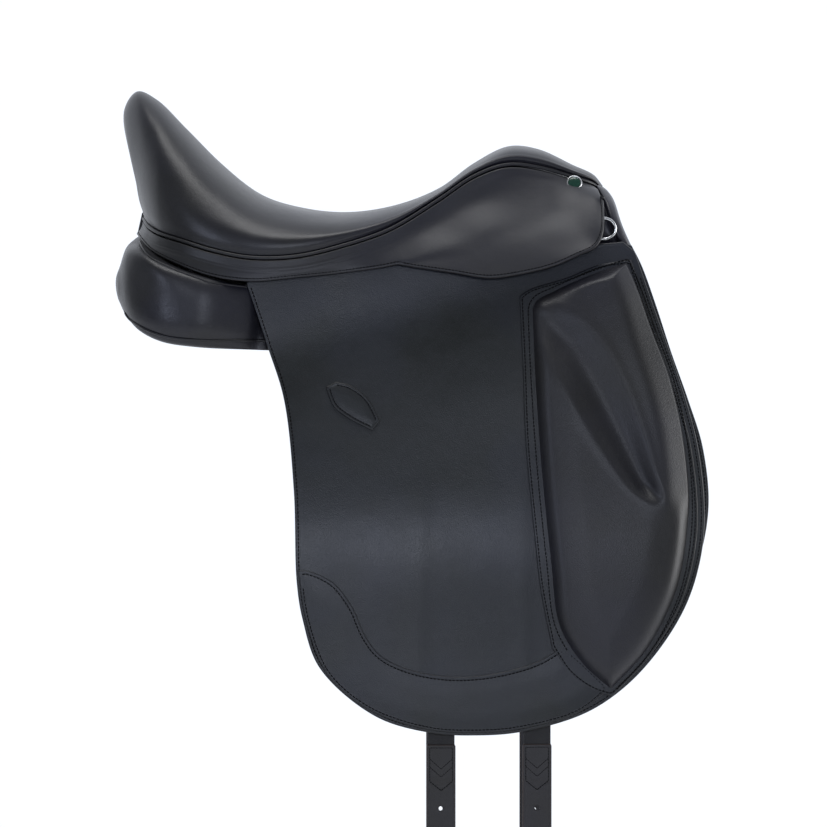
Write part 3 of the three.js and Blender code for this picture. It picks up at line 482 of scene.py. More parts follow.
def sheet_faces(rows, columns):
    """The faces of a closed sheet: an outer grid of points, then an inner one of the same size."""
    size = rows * columns
    faces = grid_faces(rows, columns)
    faces += [tuple(i + size for i in reversed(f)) for f in faces]
    border = list(range(columns)) + [i * columns + columns - 1 for i in range(1, rows)]
    border += [(rows - 1) * columns + j for j in range(columns - 2, -1, -1)]
    border += [i * columns for i in range(rows - 2, 0, -1)]
    return faces + [(a, a + size, b + size, b) for a, b in zip(border, border[1:] + border[:1])]


def grid_normals(p):
    du = np.gradient(p, axis=0)
    dv = np.gradient(p, axis=1)
    n = np.cross(du, dv)
    return n / np.maximum(np.linalg.norm(n, axis=2, keepdims=True), 1e-9)


def leather_grid(p, thickness, outward, round_r=1.3, shape=None):
    """A closed sheet from a grid of points on its outer face, and that face as it came out.
    outward(p) is roughly outward."""
    rows, columns = p.shape[:2]
    n = grid_normals(p)
    n = n * np.sign((n * outward(p)).sum(2, keepdims=True).mean())
    down = np.linalg.norm(np.diff(p, axis=0), axis=2)
    across = np.linalg.norm(np.diff(p, axis=1), axis=2)
    from_top = np.vstack([np.zeros((1, columns)), np.cumsum(down, axis=0)])
    from_left = np.hstack([np.zeros((rows, 1)), np.cumsum(across, axis=1)])
    from_low = from_top[-1:] - from_top
    d = np.minimum(np.minimum(from_top, from_low), np.minimum(from_left, from_left[:, -1:] - from_left))
    extra = shape(p, from_top, from_low) if shape is not None else 0
    front = p - n * (edge_drop(d, round_r) - extra)[..., None]
    back = p - n * (thickness - back_lift(d))[..., None]
    points = np.vstack([front.reshape(-1, 3), back.reshape(-1, 3)])
    return (points, sheet_faces(rows, columns), edge_wear(d, d)), front


def clustered(count, span, close=(0, 0.3, 0.8, 1.5, 2.4, 3.4, 4.4)):
    """Places from 0 to 1 along a span in millimetres, close together near both ends."""
    ends = np.array(close) / span
    middle = np.linspace(ends[-1], 1 - ends[-1], count)
    return np.concatenate([ends[:-1], middle, 1 - ends[:-1][::-1]])


# ---- materials ----
def set_range(node, *numbers):
    for key, number in zip(("From Min", "From Max", "To Min", "To Max"), numbers):
        node.inputs[key].default_value = number


class Nodes:
    """A small wrapper that adds and links shader nodes."""

    def __init__(self, name):
        self.material = bpy.data.materials.new(name)
        self.material.use_nodes = True
        self.tree = self.material.node_tree
        self.shader = self.tree.nodes["Principled BSDF"]
        self.place = self.tree.nodes.new("ShaderNodeTexCoord").outputs["Object"]

    def node(self, kind, **values):
        node = self.tree.nodes.new(kind)
        for key, value in values.items():
            if hasattr(node, key):
                setattr(node, key, value)
            else:
                node.inputs[key.replace("_", " ")].default_value = value
        return node

    def link(self, a, b):
        self.tree.links.new(a, b)
        return b

    def noise(self, scale, detail=4.0, rough=0.55, vector=None):
        node = self.node("ShaderNodeTexNoise", Scale=scale, Detail=detail, Roughness=rough)
        self.link(vector or self.place, node.inputs["Vector"])
        return node.outputs["Fac"]

    def cells(self, scale, vector):
        node = self.node("ShaderNodeTexVoronoi", feature="SMOOTH_F1")
        node.inputs["Scale"].default_value = scale
        self.link(vector, node.inputs["Vector"])
        return node.outputs["Distance"]

    def wave(self, scale, distortion, direction="X"):
        node = self.node("ShaderNodeTexWave", Scale=scale, Distortion=distortion, bands_direction=direction)
        self.link(self.place, node.inputs["Vector"])
        return node.outputs["Fac"]

    def stretched(self, *scale):
        node = self.tree.nodes.new("ShaderNodeMapping")
        node.inputs["Scale"].default_value = scale
        self.link(self.place, node.inputs["Vector"])
        return node.outputs["Vector"]

    def ramp(self, value, *stops):
        node = self.tree.nodes.new("ShaderNodeValToRGB")
        elements = node.color_ramp.elements
        while len(elements) < len(stops):
            elements.new(0.5)
        for element, (at, colour) in zip(elements, stops):
            element.position = at
            element.color = (*colour, 1)
        self.link(value, node.inputs["Fac"])
        return node.outputs["Color"]

    def range(self, value, low, high, to_low, to_high):
        node = self.tree.nodes.new("ShaderNodeMapRange")
        set_range(node, low, high, to_low, to_high)
        self.link(value, node.inputs["Value"])
        return node.outputs["Result"]

    def math(self, operation, a, b):
        node = self.tree.nodes.new("ShaderNodeMath")
        node.operation = operation
        for socket, value in zip(node.inputs, (a, b)):
            if isinstance(value, (int, float)):
                socket.default_value = value
            else:
                self.link(value, socket)
        return node.outputs[0]

    def mix(self, factor, a, b):
        node = self.tree.nodes.new("ShaderNodeMix")
        node.data_type = "RGBA"
        self.link(factor, node.inputs[0])
        for socket, value in ((node.inputs[6], a), (node.inputs[7], b)):
            if isinstance(value, tuple):
                socket.default_value = (*value, 1)
            else:
                self.link(value, socket)
        return node.outputs[2]

    def bump(self, height, distance, strength=1.0, normal=None):
        node = self.node("ShaderNodeBump", Strength=strength, Distance=distance)
        self.link(height, node.inputs["Height"])
        if normal is not None:
            self.link(normal, node.inputs["Normal"])
        return node.outputs["Normal"]

    def attribute(self, name):
        node = self.tree.nodes.new("ShaderNodeAttribute")
        node.attribute_name = name
        return node.outputs["Fac"]

    def finish(self, colour, roughness, normal=None, **constants):
        self.link(colour, self.shader.inputs["Base Color"])
        self.link(roughness, self.shader.inputs["Roughness"])
        if normal is not None:
            self.link(normal, self.shader.inputs["Normal"])
        for key, value in constants.items():
            self.shader.inputs[key.replace("_", " ")].default_value = value
        return self.material


def leather(name, dark, light, rough, grain, depth, crease=0.0, edge_colour=(0.012, 0.011, 0.011)):
    """Finished leather with creases, patchy colour and a pebbled grain. The patches are partly random tone
    and partly painted sheen:
    blotches of a bluish colour painted in where the leather shows a bluish sheen. Its grain is in cells a
    metre, and its depths are in metres."""
    m = Nodes(name)
    # patches of colour: partly random tone, partly painted sheen standing in for the leather's blotchy bluish
    # sheen; they also vary the roughness
    tone_and_sheen_patches = m.noise(9, 3, 0.5)
    fine = m.noise(160, 3, 0.6)
    colour = m.ramp(tone_and_sheen_patches, (0.3, dark), (0.72, light))
    # painted sheen: a bluish copy of the light colour, mixed in by a large noise, paints a bluish sheen into
    # the colour
    painted_bluish_sheen = tuple(c * k for c, k in zip(light, (1.1, 1.12, 1.65)))
    colour = m.mix(m.range(m.noise(5.5, 3, 0.5), 0.42, 0.6, 0, 0.85), colour, painted_bluish_sheen)
    speck = m.range(fine, 0.35, 0.7, 0.0, 0.22)
    colour = m.mix(speck, colour, tuple(min(1, c * 1.5 + 0.002) for c in light))
    colour = m.mix(m.range(m.attribute("edge"), 0.25, 0.95, 0, 0.75), colour, edge_colour)
    wobble = m.noise(grain * 0.35, 2, 0.5)
    warp = m.node("ShaderNodeVectorMath", operation="ADD")
    m.link(m.place, warp.inputs[0])
    m.link(m.math("MULTIPLY", wobble, 0.5 / grain), warp.inputs[1])
    cells = m.cells(grain, warp.outputs[0])
    pores = m.noise(grain * 2.2, 2, 0.6)
    height = m.math("ADD", m.math("MULTIPLY", cells, -0.8), m.math("MULTIPLY", pores, 0.35))
    normal = m.bump(height, depth, 0.7)
    if crease:
        normal = m.bump(m.noise(38, 5, 0.62), crease, 0.6, normal)
    shine = m.math("ADD", m.range(tone_and_sheen_patches, 0.3, 0.75, rough - 0.05, rough + 0.07),
                   m.range(cells, 0.1, 0.7, -0.04, 0.06))
    return m.finish(colour, shine, normal, Specular_IOR_Level=0.5)


def thread(name, colour, light):
    m = Nodes(name)
    twist = m.wave(900, 1.5)
    tint = m.ramp(m.noise(300), (0.35, colour), (0.7, light))
    shine = m.range(twist, 0, 1, 0.45, 0.7)
    return m.finish(tint, shine, m.bump(twist, 0.00012, 0.8), Specular_IOR_Level=0.12)


def webbing(name, dark, light):
    """Woven nylon: ribs across the strap and a fine twill along it."""
    m = Nodes(name)
    weave = m.math("MULTIPLY", m.wave(330, 0.4, "Z"), m.wave(420, 0.4))
    colour = m.ramp(weave, (0.1, dark), (0.8, light))
    shine = m.range(m.noise(60), 0.3, 0.7, 0.7, 0.9)
    return m.finish(colour, shine, m.bump(weave, 0.0006, 0.9), Sheen_Weight=0.3)


def steel(name, rough, scratch=0.06):
    """Polished steel with fine handling marks."""
    m = Nodes(name)
    lines = m.noise(3, 5, 0.6, m.stretched(40, 40, 900))
    smear = m.noise(45, 3, 0.5)
    colour = m.ramp(smear, (0.3, (0.62, 0.63, 0.64)), (0.7, (0.78, 0.785, 0.79)))
    shine = m.math("ADD", m.range(smear, 0.3, 0.7, rough, rough + 0.08), m.range(lines, 0.3, 0.7, 0, scratch))
    return m.finish(colour, shine, m.bump(lines, 0.00003, 0.5), Metallic=1.0)


def speckled(name, dark, light, scale, rough, depth, **constants):
    """A plain material with a fine uneven surface, such as foam or enamel."""
    m = Nodes(name)
    grain = m.noise(scale, 6, 0.6)
    colour = m.ramp(grain, (0.3, dark), (0.7, light))
    shine = m.range(grain, 0.3, 0.7, rough - 0.06, rough + 0.06)
    return m.finish(colour, shine, m.bump(grain, depth, 0.7), **constants)


def laminate(name):
    """Black-stained wood laminate: long grain with a few darker plies."""
    m = Nodes(name)
    grain = m.noise(2.2, 6, 0.6, m.stretched(6, 60, 90))
    colour = m.ramp(grain, (0.3, (0.010, 0.007, 0.005)), (0.55, (0.022, 0.015, 0.010)),
                    (0.75, (0.034, 0.024, 0.016)))
    return m.finish(colour, m.range(grain, 0.3, 0.7, 0.5, 0.68), m.bump(grain, 0.0004, 0.6))


SEAT_LEATHER = leather("seat_leather", (0.0065, 0.0065, 0.008), (0.0105, 0.0105, 0.012),
                       0.36, 1300, 0.00012, 0.0006)
FLAP_LEATHER = leather("flap_leather", (0.0026, 0.0042, 0.0042), (0.0085, 0.0105, 0.0125),
                       0.36, 1100, 0.0002, 0.0005)
SKIRT_LEATHER = leather("skirt_leather", (0.0075, 0.0078, 0.0086), (0.0118, 0.012, 0.013),
                        0.41, 1500, 0.0001, 0.0005)
BLOCK_LEATHER = leather("block_leather", (0.0075, 0.0075, 0.0084), (0.0118, 0.0116, 0.0122),
                        0.4, 900, 0.00025, 0.0003)
PANEL_LEATHER = leather("panel_leather", (0.0075, 0.0075, 0.0095), (0.0125, 0.0125, 0.0145),
                        0.36, 1100, 0.00014, 0.0009)
STRAP_LEATHER = leather("strap_leather", (0.0095, 0.009, 0.009), (0.015, 0.0135, 0.0125),
                        0.45, 1200, 0.00018, 0.0008, edge_colour=(0.06, 0.028, 0.014))
PIPING_LEATHER = leather("piping_leather", (0.004, 0.004, 0.0045), (0.008, 0.008, 0.009),
                         0.4, 1300, 0.0001)
THREAD = thread("black_thread", (0.001, 0.001, 0.0012), (0.004, 0.004, 0.005))
WEBBING = webbing("nylon_webbing", (0.006, 0.006, 0.007), (0.035, 0.035, 0.04))
STEEL = steel("polished_steel", 0.17)
DULL_STEEL = steel("plated_steel", 0.3, 0.15)
ENAMEL = speckled("green_enamel", (0.003, 0.034, 0.021), (0.005, 0.05, 0.03), 260, 0.2, 0.00002,
                  Coat_Weight=0.3)
FOAM = speckled("foam", (0.010, 0.010, 0.011), (0.024, 0.024, 0.026), 420, 0.88, 0.0009)
LAMINATE = laminate("tree_laminate")
MATERIALS = {
    "seat_leather": SEAT_LEATHER, "flap_leather": FLAP_LEATHER, "block_leather": BLOCK_LEATHER,
    "panel_leather": PANEL_LEATHER, "strap_leather": STRAP_LEATHER, "webbing": WEBBING, "foam": FOAM,
    "tree_laminate": LAMINATE, "steel": DULL_STEEL, "enamel": ENAMEL,
}


def dress_frame():
    """Every carried-over node gets its slot's detailed material."""
    slots = {row["node"]: row["material_slot"] for row in frame["record"]["subparts"]}
    for name, obj in frame["nodes"].items():
        obj.data.materials.clear()
        obj.data.materials.append(MATERIALS[slots[name]])


def place(name, data, side, material, body, nodes=()):
    """Makes one piece and body, and hides the nodes it stands for."""
    points, faces, *edge = data
    obj = make_object(name, points, faces, side, material, *edge)
    if body:
        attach(obj, body)
    if nodes:
        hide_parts(*nodes)
    return obj


def place_pair(name, data, material, body, nodes=()):
    """Makes a piece on each side. {} stands for the side in the names of the piece, body and nodes."""
    return {word: place(name.format(word), data, side, material, body and body.format(word),
                        [node.format(word) for node in nodes]) for word, side in SIDES.items()}


def blend_pairs(pairs):
    """Bakes the transform of each piece in the pairs into its mesh."""
    for word, side in SIDES.items():
        for pair in pairs:
            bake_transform(pair[word])


# ---- the seat ----
def seat_arch(t, inset, places):
    crest = curve_point([(x, 0, z) for x, z in SEAT_CREST], t)
    welt = curve_point(SEAT_WELT, t)
    foot = np.array([welt[0], 0, welt[2] - inset])
    top = np.array([crest[0], 0, crest[2] - inset])
    width = welt[1] ** 2 / (welt[1] + inset)
    angle = places * math.pi / 2
    form = float(np.interp(t * (len(SEAT_WELT) - 1), *zip(*SEAT_FORM)))
    up = np.clip(np.cos(angle), 0, 1) ** form
    out = np.sign(places) * np.abs(np.sin(angle)) ** form
    arch = foot + (top - foot) * up[:, None]
    arch[:, 1] = width * out
    along = step_up(-abs(t - 0.5), -0.2, -0.05)
    arch[:, 2] -= DISH_DEPTH * along * np.exp(-(arch[:, 1] / DISH_HALF) ** 2)
    return arch


def make_seat():
    span = math.pi / 2 * 0.9
    places = np.sin(np.linspace(-1, 1, 73) * span) / math.sin(span)
    rows = np.linspace(0, 1, 190)
    outer = np.array([seat_arch(t, 0, places) for t in rows])
    n = grid_normals(outer)
    n *= np.sign(n[95, 36, 2])
    v = np.abs(places)[None, :]
    # the leather is drawn in to the welt, which leaves a soft roll just above it
    roll = 1.2 * bump(v, 0.86, 0.09) - 1.6 * bump(v, 1.0, 0.035)
    outer = outer + n * roll[..., None]
    inner = np.array([seat_arch(0.004 + 0.99 * r, COVER_THICKNESS, places) for r in rows])
    inner[:, :, 2] += COVER_RISE
    points = np.vstack([outer.reshape(-1, 3), inner.reshape(-1, 3)])
    data = points, sheet_faces(len(rows), len(places))
    seat = place("seat_leather_cover", data, 1, SEAT_LEATHER, "saddle", ["seat_cover"])


def make_piping():
    left = np.array([curve_point(SEAT_WELT, t) for t in np.linspace(0.01, 0.985, 240)])
    left[:, 2] -= PIPING_DROP
    left[:, 1] = np.maximum(left[:, 1] - PIPING_PULL, 0)
    line = resample(np.vstack([left, left[::-1] * [1, -1, 1]]), step=3)
    data = tube(line, PIPING_RADIUS, sides=12)
    place("seat_welt", data, 1, PIPING_LEATHER, "saddle", ["seat_piping"])


# ---- the skirts ----
def skirt_column(t, lobe_line):
    stations = len(SEAT_WELT) - 1
    at = (SKIRT_STATION + (stations - 1 - SKIRT_STATION) * t) / stations
    welt = curve_point(SEAT_WELT, at)
    ahead = curve_point(SEAT_WELT, min(1, at + 1e-3)) - curve_point(SEAT_WELT, at - 1e-3)
    outward = np.array([ahead[1], -ahead[0], 0])
    outward /= np.linalg.norm(outward)
    top = welt + outward * SKIRT_OUT - [0, 0, SKIRT_DROP]
    low = curve_point(SKIRT_EDGE, t)
    nose = step_up(-t, -0.2, 0)       # the front end turns down round the pommel
    shoulder = top + (low - top) * (SKIRT_SHOULDER[0] * (1 - nose) + SKIRT_SHOULDER[1] * nose)
    points = [top, shoulder, low]
    x_front, x_back = SKIRT_EDGE[0][0], SKIRT_LOBE[-1][0]
    share = (x_front - low[0]) / (x_front - x_back)
    if share < 0.985:
        foot = lobe_line[int(round(share * (len(lobe_line) - 1)))]
        for f in (0.34, 0.67, 1.0):
            x, z = low[0] + (foot[0] - low[0]) * f, low[2] + (foot[1] - low[2]) * f
            points.append(np.array([x, float(fold_width(SKIRT_FOLD, x, z)), z]))
    return resample([curve_point(points, s) for s in np.linspace(0, 1, 60)], count=SKIRT_STEPS)


def settle(grid):
    """Lets the leather's front lie smooth: there each point's width moves to the mean of its neighbours'."""
    grid = grid.copy()
    side = grid[..., [0, 2]]
    calm = step_up(side[1:-1, 1:-1, 0], 120, 190)
    gaps = [np.linalg.norm(side[1:-1, 1:-1] - q, axis=2) for q in (
        side[:-2, 1:-1], side[2:, 1:-1], side[1:-1, :-2], side[1:-1, 2:])]
    weights = [1 / np.maximum(g, 0.05) for g in gaps]
    for _ in range(160):
        y = grid[..., 1]
        mean = sum(w * q for w, q in zip(weights, (y[:-2, 1:-1], y[2:, 1:-1], y[1:-1, :-2], y[1:-1, 2:])))
        mean /= sum(weights)
        grid[1:-1, 1:-1, 1] += (mean - y[1:-1, 1:-1]) * 0.8 * calm
    return grid


def make_skirts():
    lobe = smooth_run(SKIRT_LOBE, 0.4)
    columns = [skirt_column(t, lobe) for t in clustered(230, 480)]
    grid = settle(np.array([[c[int(round(m * SKIRT_STEPS))] for c in columns] for m in clustered(26, 60)]))
    for x, z, wide, tall, out in SKIRT_ROOM:
        grid[..., 1] += out * bump(grid[..., 0], x, wide) * bump(grid[..., 2], z, tall)

    def shape(p, from_top, from_low):
        lobe_part = step_up(p[..., 0], 20, 60)
        fold_line = 0.35 * bump(from_top, 8.5, 0.9) + 0.25 * bump(from_top, 11.5, 1.6)
        groove = 0.1 * bump(from_low, SKIRT_STITCHED, 0.9)
        belly = 1.2 * lobe_part * bump(from_low, 30, 22)
        return belly - fold_line - groove

    near_nail = np.argmin(((grid[..., [0, 2]] - NAIL_AT) ** 2).sum(2))
    NAIL_SEAT[:] = grid.reshape(-1, 3)[near_nail]
    data, front = leather_grid(grid, SKIRT_THICKNESS, lambda p: p * [0, 1, 0] + [0, 1, 0], shape=shape)
    path = []
    for j in range(4, front.shape[1] - 4):
        column = front[:, j]
        steps = np.linalg.norm(np.diff(column[::-1], axis=0), axis=1)
        from_low = np.concatenate([np.cumsum(steps)[::-1], [0]])
        path.append([np.interp(-SKIRT_STITCHED, -from_low, column[:, k]) for k in range(3)])
    path = np.array(path)
    path = path[np.concatenate([[True], np.linalg.norm(np.diff(path, axis=0), axis=1) > 0.05])]
    stitches = join_parts(stitch_run(path, lambda q: (0.0, 0.97, 0.24), SKIRT_STITCH))
    pairs = [
        place_pair("skirt_leather_{}", data, SKIRT_LEATHER, None,
                   ["skirt_{}", "skirt_lobe_{}"]),
        place_pair("skirt_stitching_{}", stitches, THREAD, None),
    ]
    blend_pairs(pairs)


# ---- flaps and what is sewn on them ----
FLAP_LOOP = outline([FLAP_EDGE, [FLAP_EDGE[-1], FLAP_TOP[0]], FLAP_TOP, [FLAP_TOP[-1], FLAP_EDGE[0]]])
SWEAT_LOOP = outline([SWEAT_EDGE, [SWEAT_EDGE[-1], SWEAT_TOP[0]], SWEAT_TOP, [SWEAT_TOP[-1], SWEAT_EDGE[0]]])
BORDER_LOOP = outline(BORDER_RUNS)
BLOCK_LOOP = outline(BLOCK_RUNS)
WEAR_LOOP = outline(WEAR_RUNS)
KEEPER_LOOP = outline(KEEPER_RUNS, step=1.5)
BORDER_RISE = 3.0
WEAR_RISE = 2.4
KEEPER_RISE = 2.7


def surface_normal(side_point):
    x, _, z = side_point
    e = 1.0
    dx = float(flap_width(x + e, z) - flap_width(x - e, z)) / (2 * e)
    dz = float(flap_width(x, z + e) - flap_width(x, z - e)) / (2 * e)
    n = np.array([-dx, 1, -dz])
    return n / np.linalg.norm(n)


def visible_part(line, keep):
    """The longest stretch of a closed line whose points pass keep."""
    ok = np.array([bool(keep(p)) for p in line])
    if ok.all():
        return line, True
    start = int(np.argmin(ok))
    line, ok = np.roll(line, -start, axis=0), np.roll(ok, -start)
    runs, current = [], []
    for p, good in zip(line, ok):
        if good:
            current.append(p)
        elif current:
            runs.append(current)
            current = []
    runs.append(current)
    return np.array(max(runs, key=len)), False


def edge_stitches(loop, inset, lift, keep=lambda p: True, stitch=STITCH):
    line, closed = visible_part(offset_line(loop, inset), keep)
    return stitch_run(on_surface(line, flap_width, lift), surface_normal, stitch, closed)


def near(line, reach):
    """A test for places in the side view that lie within reach of a line."""
    return lambda p: distance_to(np.array([p]), line, closed=False)[0] < reach


def place_on_flap(leather_name, data, thread_name, rows, node, body="flap_{}"):
    """A leather that is sewn on a flap or lies beside it, and its stitches."""
    place_pair(leather_name, data, FLAP_LEATHER, body, [node])
    place_pair(thread_name, join_parts(rows), THREAD, body)


def flap_shape(x, z, d):
    """The leather follows the hidden edges of the panel and billets a little."""
    seam = 0.5 * bump(x, 66 + 0.02 * z, 9) + 0.45 * bump(x, 163, 9)
    return seam * step_up(-z, 120, 260) * step_up(d, 4, 18)


def make_flaps():
    data = leather_sheet(FLAP_LOOP, flap_width, -FLAP_THICKNESS, 0, cell=5.5, grooves=[(3.2, *GROOVE)],
                         shape=flap_shape)
    rows = edge_stitches(FLAP_LOOP, 3.2, -0.12, lambda p: p[1] < FLAP_EDGE[0][1] - 2 and p[0] < 281)
    rows += edge_stitches(FLAP_LOOP, 3.2, -0.12, lambda p: p[0] >= 281)
    pairs = [
        place_pair("flap_leather_{}", data, FLAP_LEATHER, None, ["flap_{}", "flap_upper_{}"]),
        place_pair("flap_stitching_{}", join_parts(rows), THREAD, None),
    ]
    blend_pairs(pairs)


VALLEY = [(170, -30), (190, -48), (211, -72), (238, -117), (261, -163), (282, -204), (302, -229)]
# The thigh block, in millimetres: its wall and pillow, the bevel down its front, and its valley.
WALL_RUN, PILLOW, CROWN = 6.5, 15.5, 4.0
BEVEL_WIDTH, BEVEL_WIDENS, BEVEL_FOOT, RIDGE, RIDGE_ROUND = 17, 5, 7, 23.5, 3.0
VALLEY_DEPTH, VALLEY_REACH = 8.5, 1.15
VALLEY_WIDTH = [(0, 15), (28, 21), (60, 25), (113, 24), (164, 20), (210, 13.5), (245, 6)]


def along_line(points, line):
    """For each point: how far along the line its nearest place is, and its distance, positive on the left."""
    p, a = np.asarray(points, float), np.asarray(line, float)
    seg = a[1:] - a[:-1]
    size = np.linalg.norm(seg, axis=1)
    start = np.concatenate([[0], np.cumsum(size)[:-1]])
    along, away = np.zeros(len(p)), np.full(len(p), 1e9)
    for i in range(len(seg)):
        rel = p - a[i]
        t = np.clip((rel @ seg[i]) / size[i] ** 2, 0, 1)
        gap = rel - t[:, None] * seg[i]
        dist = np.linalg.norm(gap, axis=1)
        sign = np.where(seg[i][0] * rel[:, 1] - seg[i][1] * rel[:, 0] >= 0, 1, -1)
        nearer = dist < np.abs(away)
        away = np.where(nearer, sign * dist, away)
        along = np.where(nearer, start[i] + t * size[i], along)
    return along, away


def block_shape(x, z, d):
    """Height of the thigh block: a flat bevel down its front, and a dished knee rest behind it."""
    side_view = np.stack([x, z], axis=1)
    from_front = distance_to(side_view, smooth_run(BLOCK_RUNS[1], 2), closed=False)
    upper = step_up(z, -252, -214)
    pillow = PILLOW * (1 - np.exp(-(d / WALL_RUN) ** 1.4)) + CROWN * step_up(d, 5, 42)
    # the bevel slopes straight up from the front edge and rounds over at its ridge
    width = BEVEL_WIDTH + BEVEL_WIDENS * step_up(-z, 0, 110)
    rise = (RIDGE - BEVEL_FOOT) / width
    past = (from_front - width) / RIDGE_ROUND
    front = RIDGE - rise * RIDGE_ROUND * np.logaddexp(0, -past) - 3.0 * step_up(from_front, width, width + 34)
    front = np.minimum(front, 0.6 + 24 * (1 - np.exp(-(d / 4.5) ** 1.2)))
    body = pillow + (front - pillow) * upper * step_up(-from_front, -95, -40)
    along, away = along_line(side_view, smooth_run(VALLEY, 3))
    q = away / smooth_table(VALLEY_WIDTH, along)
    depth = VALLEY_DEPTH * step_up(along, -14, 60) * step_up(-along, -244, -214)
    across = np.clip(q / VALLEY_REACH, -1, 1)
    dish = np.where(np.abs(q) < VALLEY_REACH, 0.5 + 0.5 * np.cos(across * math.pi), 0)
    lips = 0.9 * bump(q, -1.2, 0.25) + 1.5 * bump(q, 1.2, 0.25)
    fade = step_up(d, 1.5, 12)
    return body - depth * dish * fade + lips * step_up(along, 30, 90) * step_up(-along, -240, -205) * fade


def make_blocks():
    base = leather_sheet(BORDER_LOOP, flap_width, 0.2, BORDER_RISE, cell=9, round_r=1.2,
                         grooves=[(2.4, *GROOVE)])
    pad = leather_sheet(BLOCK_LOOP, flap_width, 0.6, 0.4, cell=2.5, round_r=0.3, shape=block_shape)
    rows = edge_stitches(BORDER_LOOP, 2.4, BORDER_RISE - 0.1)
    widened = offset_line(BLOCK_LOOP[::-1], 2.6)[::-1]
    for keep in (lambda p: p[0] < 235 and p[1] > -375 or p[1] > -60, lambda p: p[0] > 255 and p[1] < 0):
        row, _ = visible_part(widened, keep)
        rows += stitch_run(on_surface(row, flap_width, BORDER_RISE - 0.1), surface_normal)
    place_on_flap("block_border_strip_{}", base, "block_stitching_{}", rows, "block_border_{}")
    blocks = place_pair("thigh_block_pad_{}", pad, BLOCK_LEATHER, "flap_{}",
                        ["thigh_block_{}"])


def make_wear_patches():
    def shape(x, z, d):
        return 0.5 * step_up(d, 5, 16) - 0.08 * bump(d, 3.6, 0.9)

    data = leather_sheet(WEAR_LOOP, flap_width, 0.1, WEAR_RISE, cell=6, round_r=0.9, shape=shape)
    top = smooth_run(WEAR_RUNS[0], 2)
    rows = edge_stitches(WEAR_LOOP, 3.6, WEAR_RISE - 0.1, near(top, 4.6))
    by_top = near(top, 9)
    rows += edge_stitches(WEAR_LOOP, 2.6, WEAR_RISE, lambda p: not by_top(p) and p[1] < -310)
    place_on_flap("wear_patch_leather_{}", data, "wear_patch_stitching_{}", rows, "wear_patch_{}")


def make_keepers():
    data = leather_sheet(KEEPER_LOOP, flap_width, 0.1, KEEPER_RISE, cell=2.5, round_r=0.7,
                         grooves=[(2.8, 0.35, 0.6)], shape=lambda x, z, d: 0.6 * step_up(d, 3.6, 9))
    rows = []
    for long_side in (KEEPER_RUNS[1], KEEPER_RUNS[3]):
        keep = near(smooth_run(long_side, 1.5), 3.1)
        rows += edge_stitches(KEEPER_LOOP, 2.8, KEEPER_RISE - 0.2, keep, KEEPER_STITCH)
    place_on_flap("keeper_leather_{}", data, "keeper_stitching_{}", rows, "strap_keeper_{}")


def make_sweat_flaps():
    data = leather_sheet(SWEAT_LOOP, flap_width, SWEAT_INNER, SWEAT_OUTER, cell=9, round_r=1.1,
                         grooves=[(3.2, *GROOVE)])
    rows = edge_stitches(SWEAT_LOOP, 3.2, SWEAT_OUTER - 0.15, lambda p: p[1] < -20)
    place_on_flap("sweat_flap_leather_{}", data, "sweat_flap_stitching_{}", rows, "sweat_flap_{}", "saddle")


# ---- panels ----
def panel_ring(t, count=72):
    points = np.array([curve_point([(x, *ring[j]) for x, ring in PANEL], t) for j in range(len(PANEL[0][1]))])
    lean = max(0.0, (points[0][0] - LEAN_START) / (PANEL[-1][0] - LEAN_START)) * FRONT_LEAN
    ring = np.array([curve_point(points, s, closed=True) for s in np.linspace(0, 1, count, endpoint=False)])
    ring[:, 0] += lean * (FRONT_TOP - ring[:, 2])
    return ring


def gusset_height(x):
    return smooth_table(GUSSET, x)


def make_panels():
    rows = np.concatenate([np.linspace(0, 0.12, 26)[:-1], np.linspace(0.12, 1, 96)])
    rings = np.array([panel_ring(t) for t in rows])
    centre = rings.mean(axis=1, keepdims=True)
    # the rear end is domed: the first rings close in on their centre
    cap = [centre[0] + (rings[0] - centre[0]) * s - [3.2 * (1 - s ** 2), 0, 0]
           for s in (0.15, 0.4, 0.62, 0.8, 0.92)]
    nose = [centre[-1] + (rings[-1] - centre[-1]) * s + [1.5 * (1 - s ** 2), 0, 0]
            for s in (0.95, 0.8, 0.5, 0.15)]
    p = np.vstack([cap, rings, nose])
    n = grid_normals(np.concatenate([p, p[:, :1]], axis=1))[:, :-1]
    inward = p.mean(axis=1, keepdims=True) - p
    n *= -np.sign((n * inward).sum())
    outer_side = step_up(p[..., 1], 60, 84) * step_up(p[..., 0], -241, -226)
    over = p[..., 2] - gusset_height(p[..., 0])
    crease = 1.3 * bump(over, 0, 2.2) * outer_side
    soft = 0.9 * bump(over, 13, 10) * outer_side
    p = p + n * (soft - crease)[..., None]
    # flaps, sweat flap and billets press the panel in
    limit = flap_width(p[..., 0], p[..., 2]) - PANEL_ROOM
    past_edge = p[..., 0] - (-103 + 0.25 * (p[..., 2] + 40))
    pressed = 0.72 * step_up(past_edge, -62, 8) + 0.28 * step_up(past_edge, -8, 8)
    p[..., 1] = np.where(p[..., 1] > limit, p[..., 1] + (limit - p[..., 1]) * pressed, p[..., 1])
    # the panel's lower front corner stays behind the sweat flap's edge
    p[..., 0] -= 6 * step_up(p[..., 0], 250, 305) * step_up(-p[..., 2], 20, 60)
    rows, count = p.shape[:2]
    ends = [tuple(reversed(f)) for f in end_faces(rows, count)]
    data = p.reshape(-1, 3), grid_faces(rows, count, wrap=True) + ends
    pads = place_pair("panel_pad_{}", data, PANEL_LEATHER, "saddle", ["panel_{}"])
    edge = np.array(SKIRT_EDGE)[::-1]
    lines = [(gusset_height, -76, 1.5), (lambda x: np.interp(x, edge[:, 0], edge[:, 2]) - 6.5, -108, 1.2)]
    piping = join_parts([tube(resample(panel_line(p[4:], height, last_x), step=2.5), radius)
                         for height, last_x, radius in lines])
    place_pair("panel_piping_{}", piping, PIPING_LEATHER, "saddle")


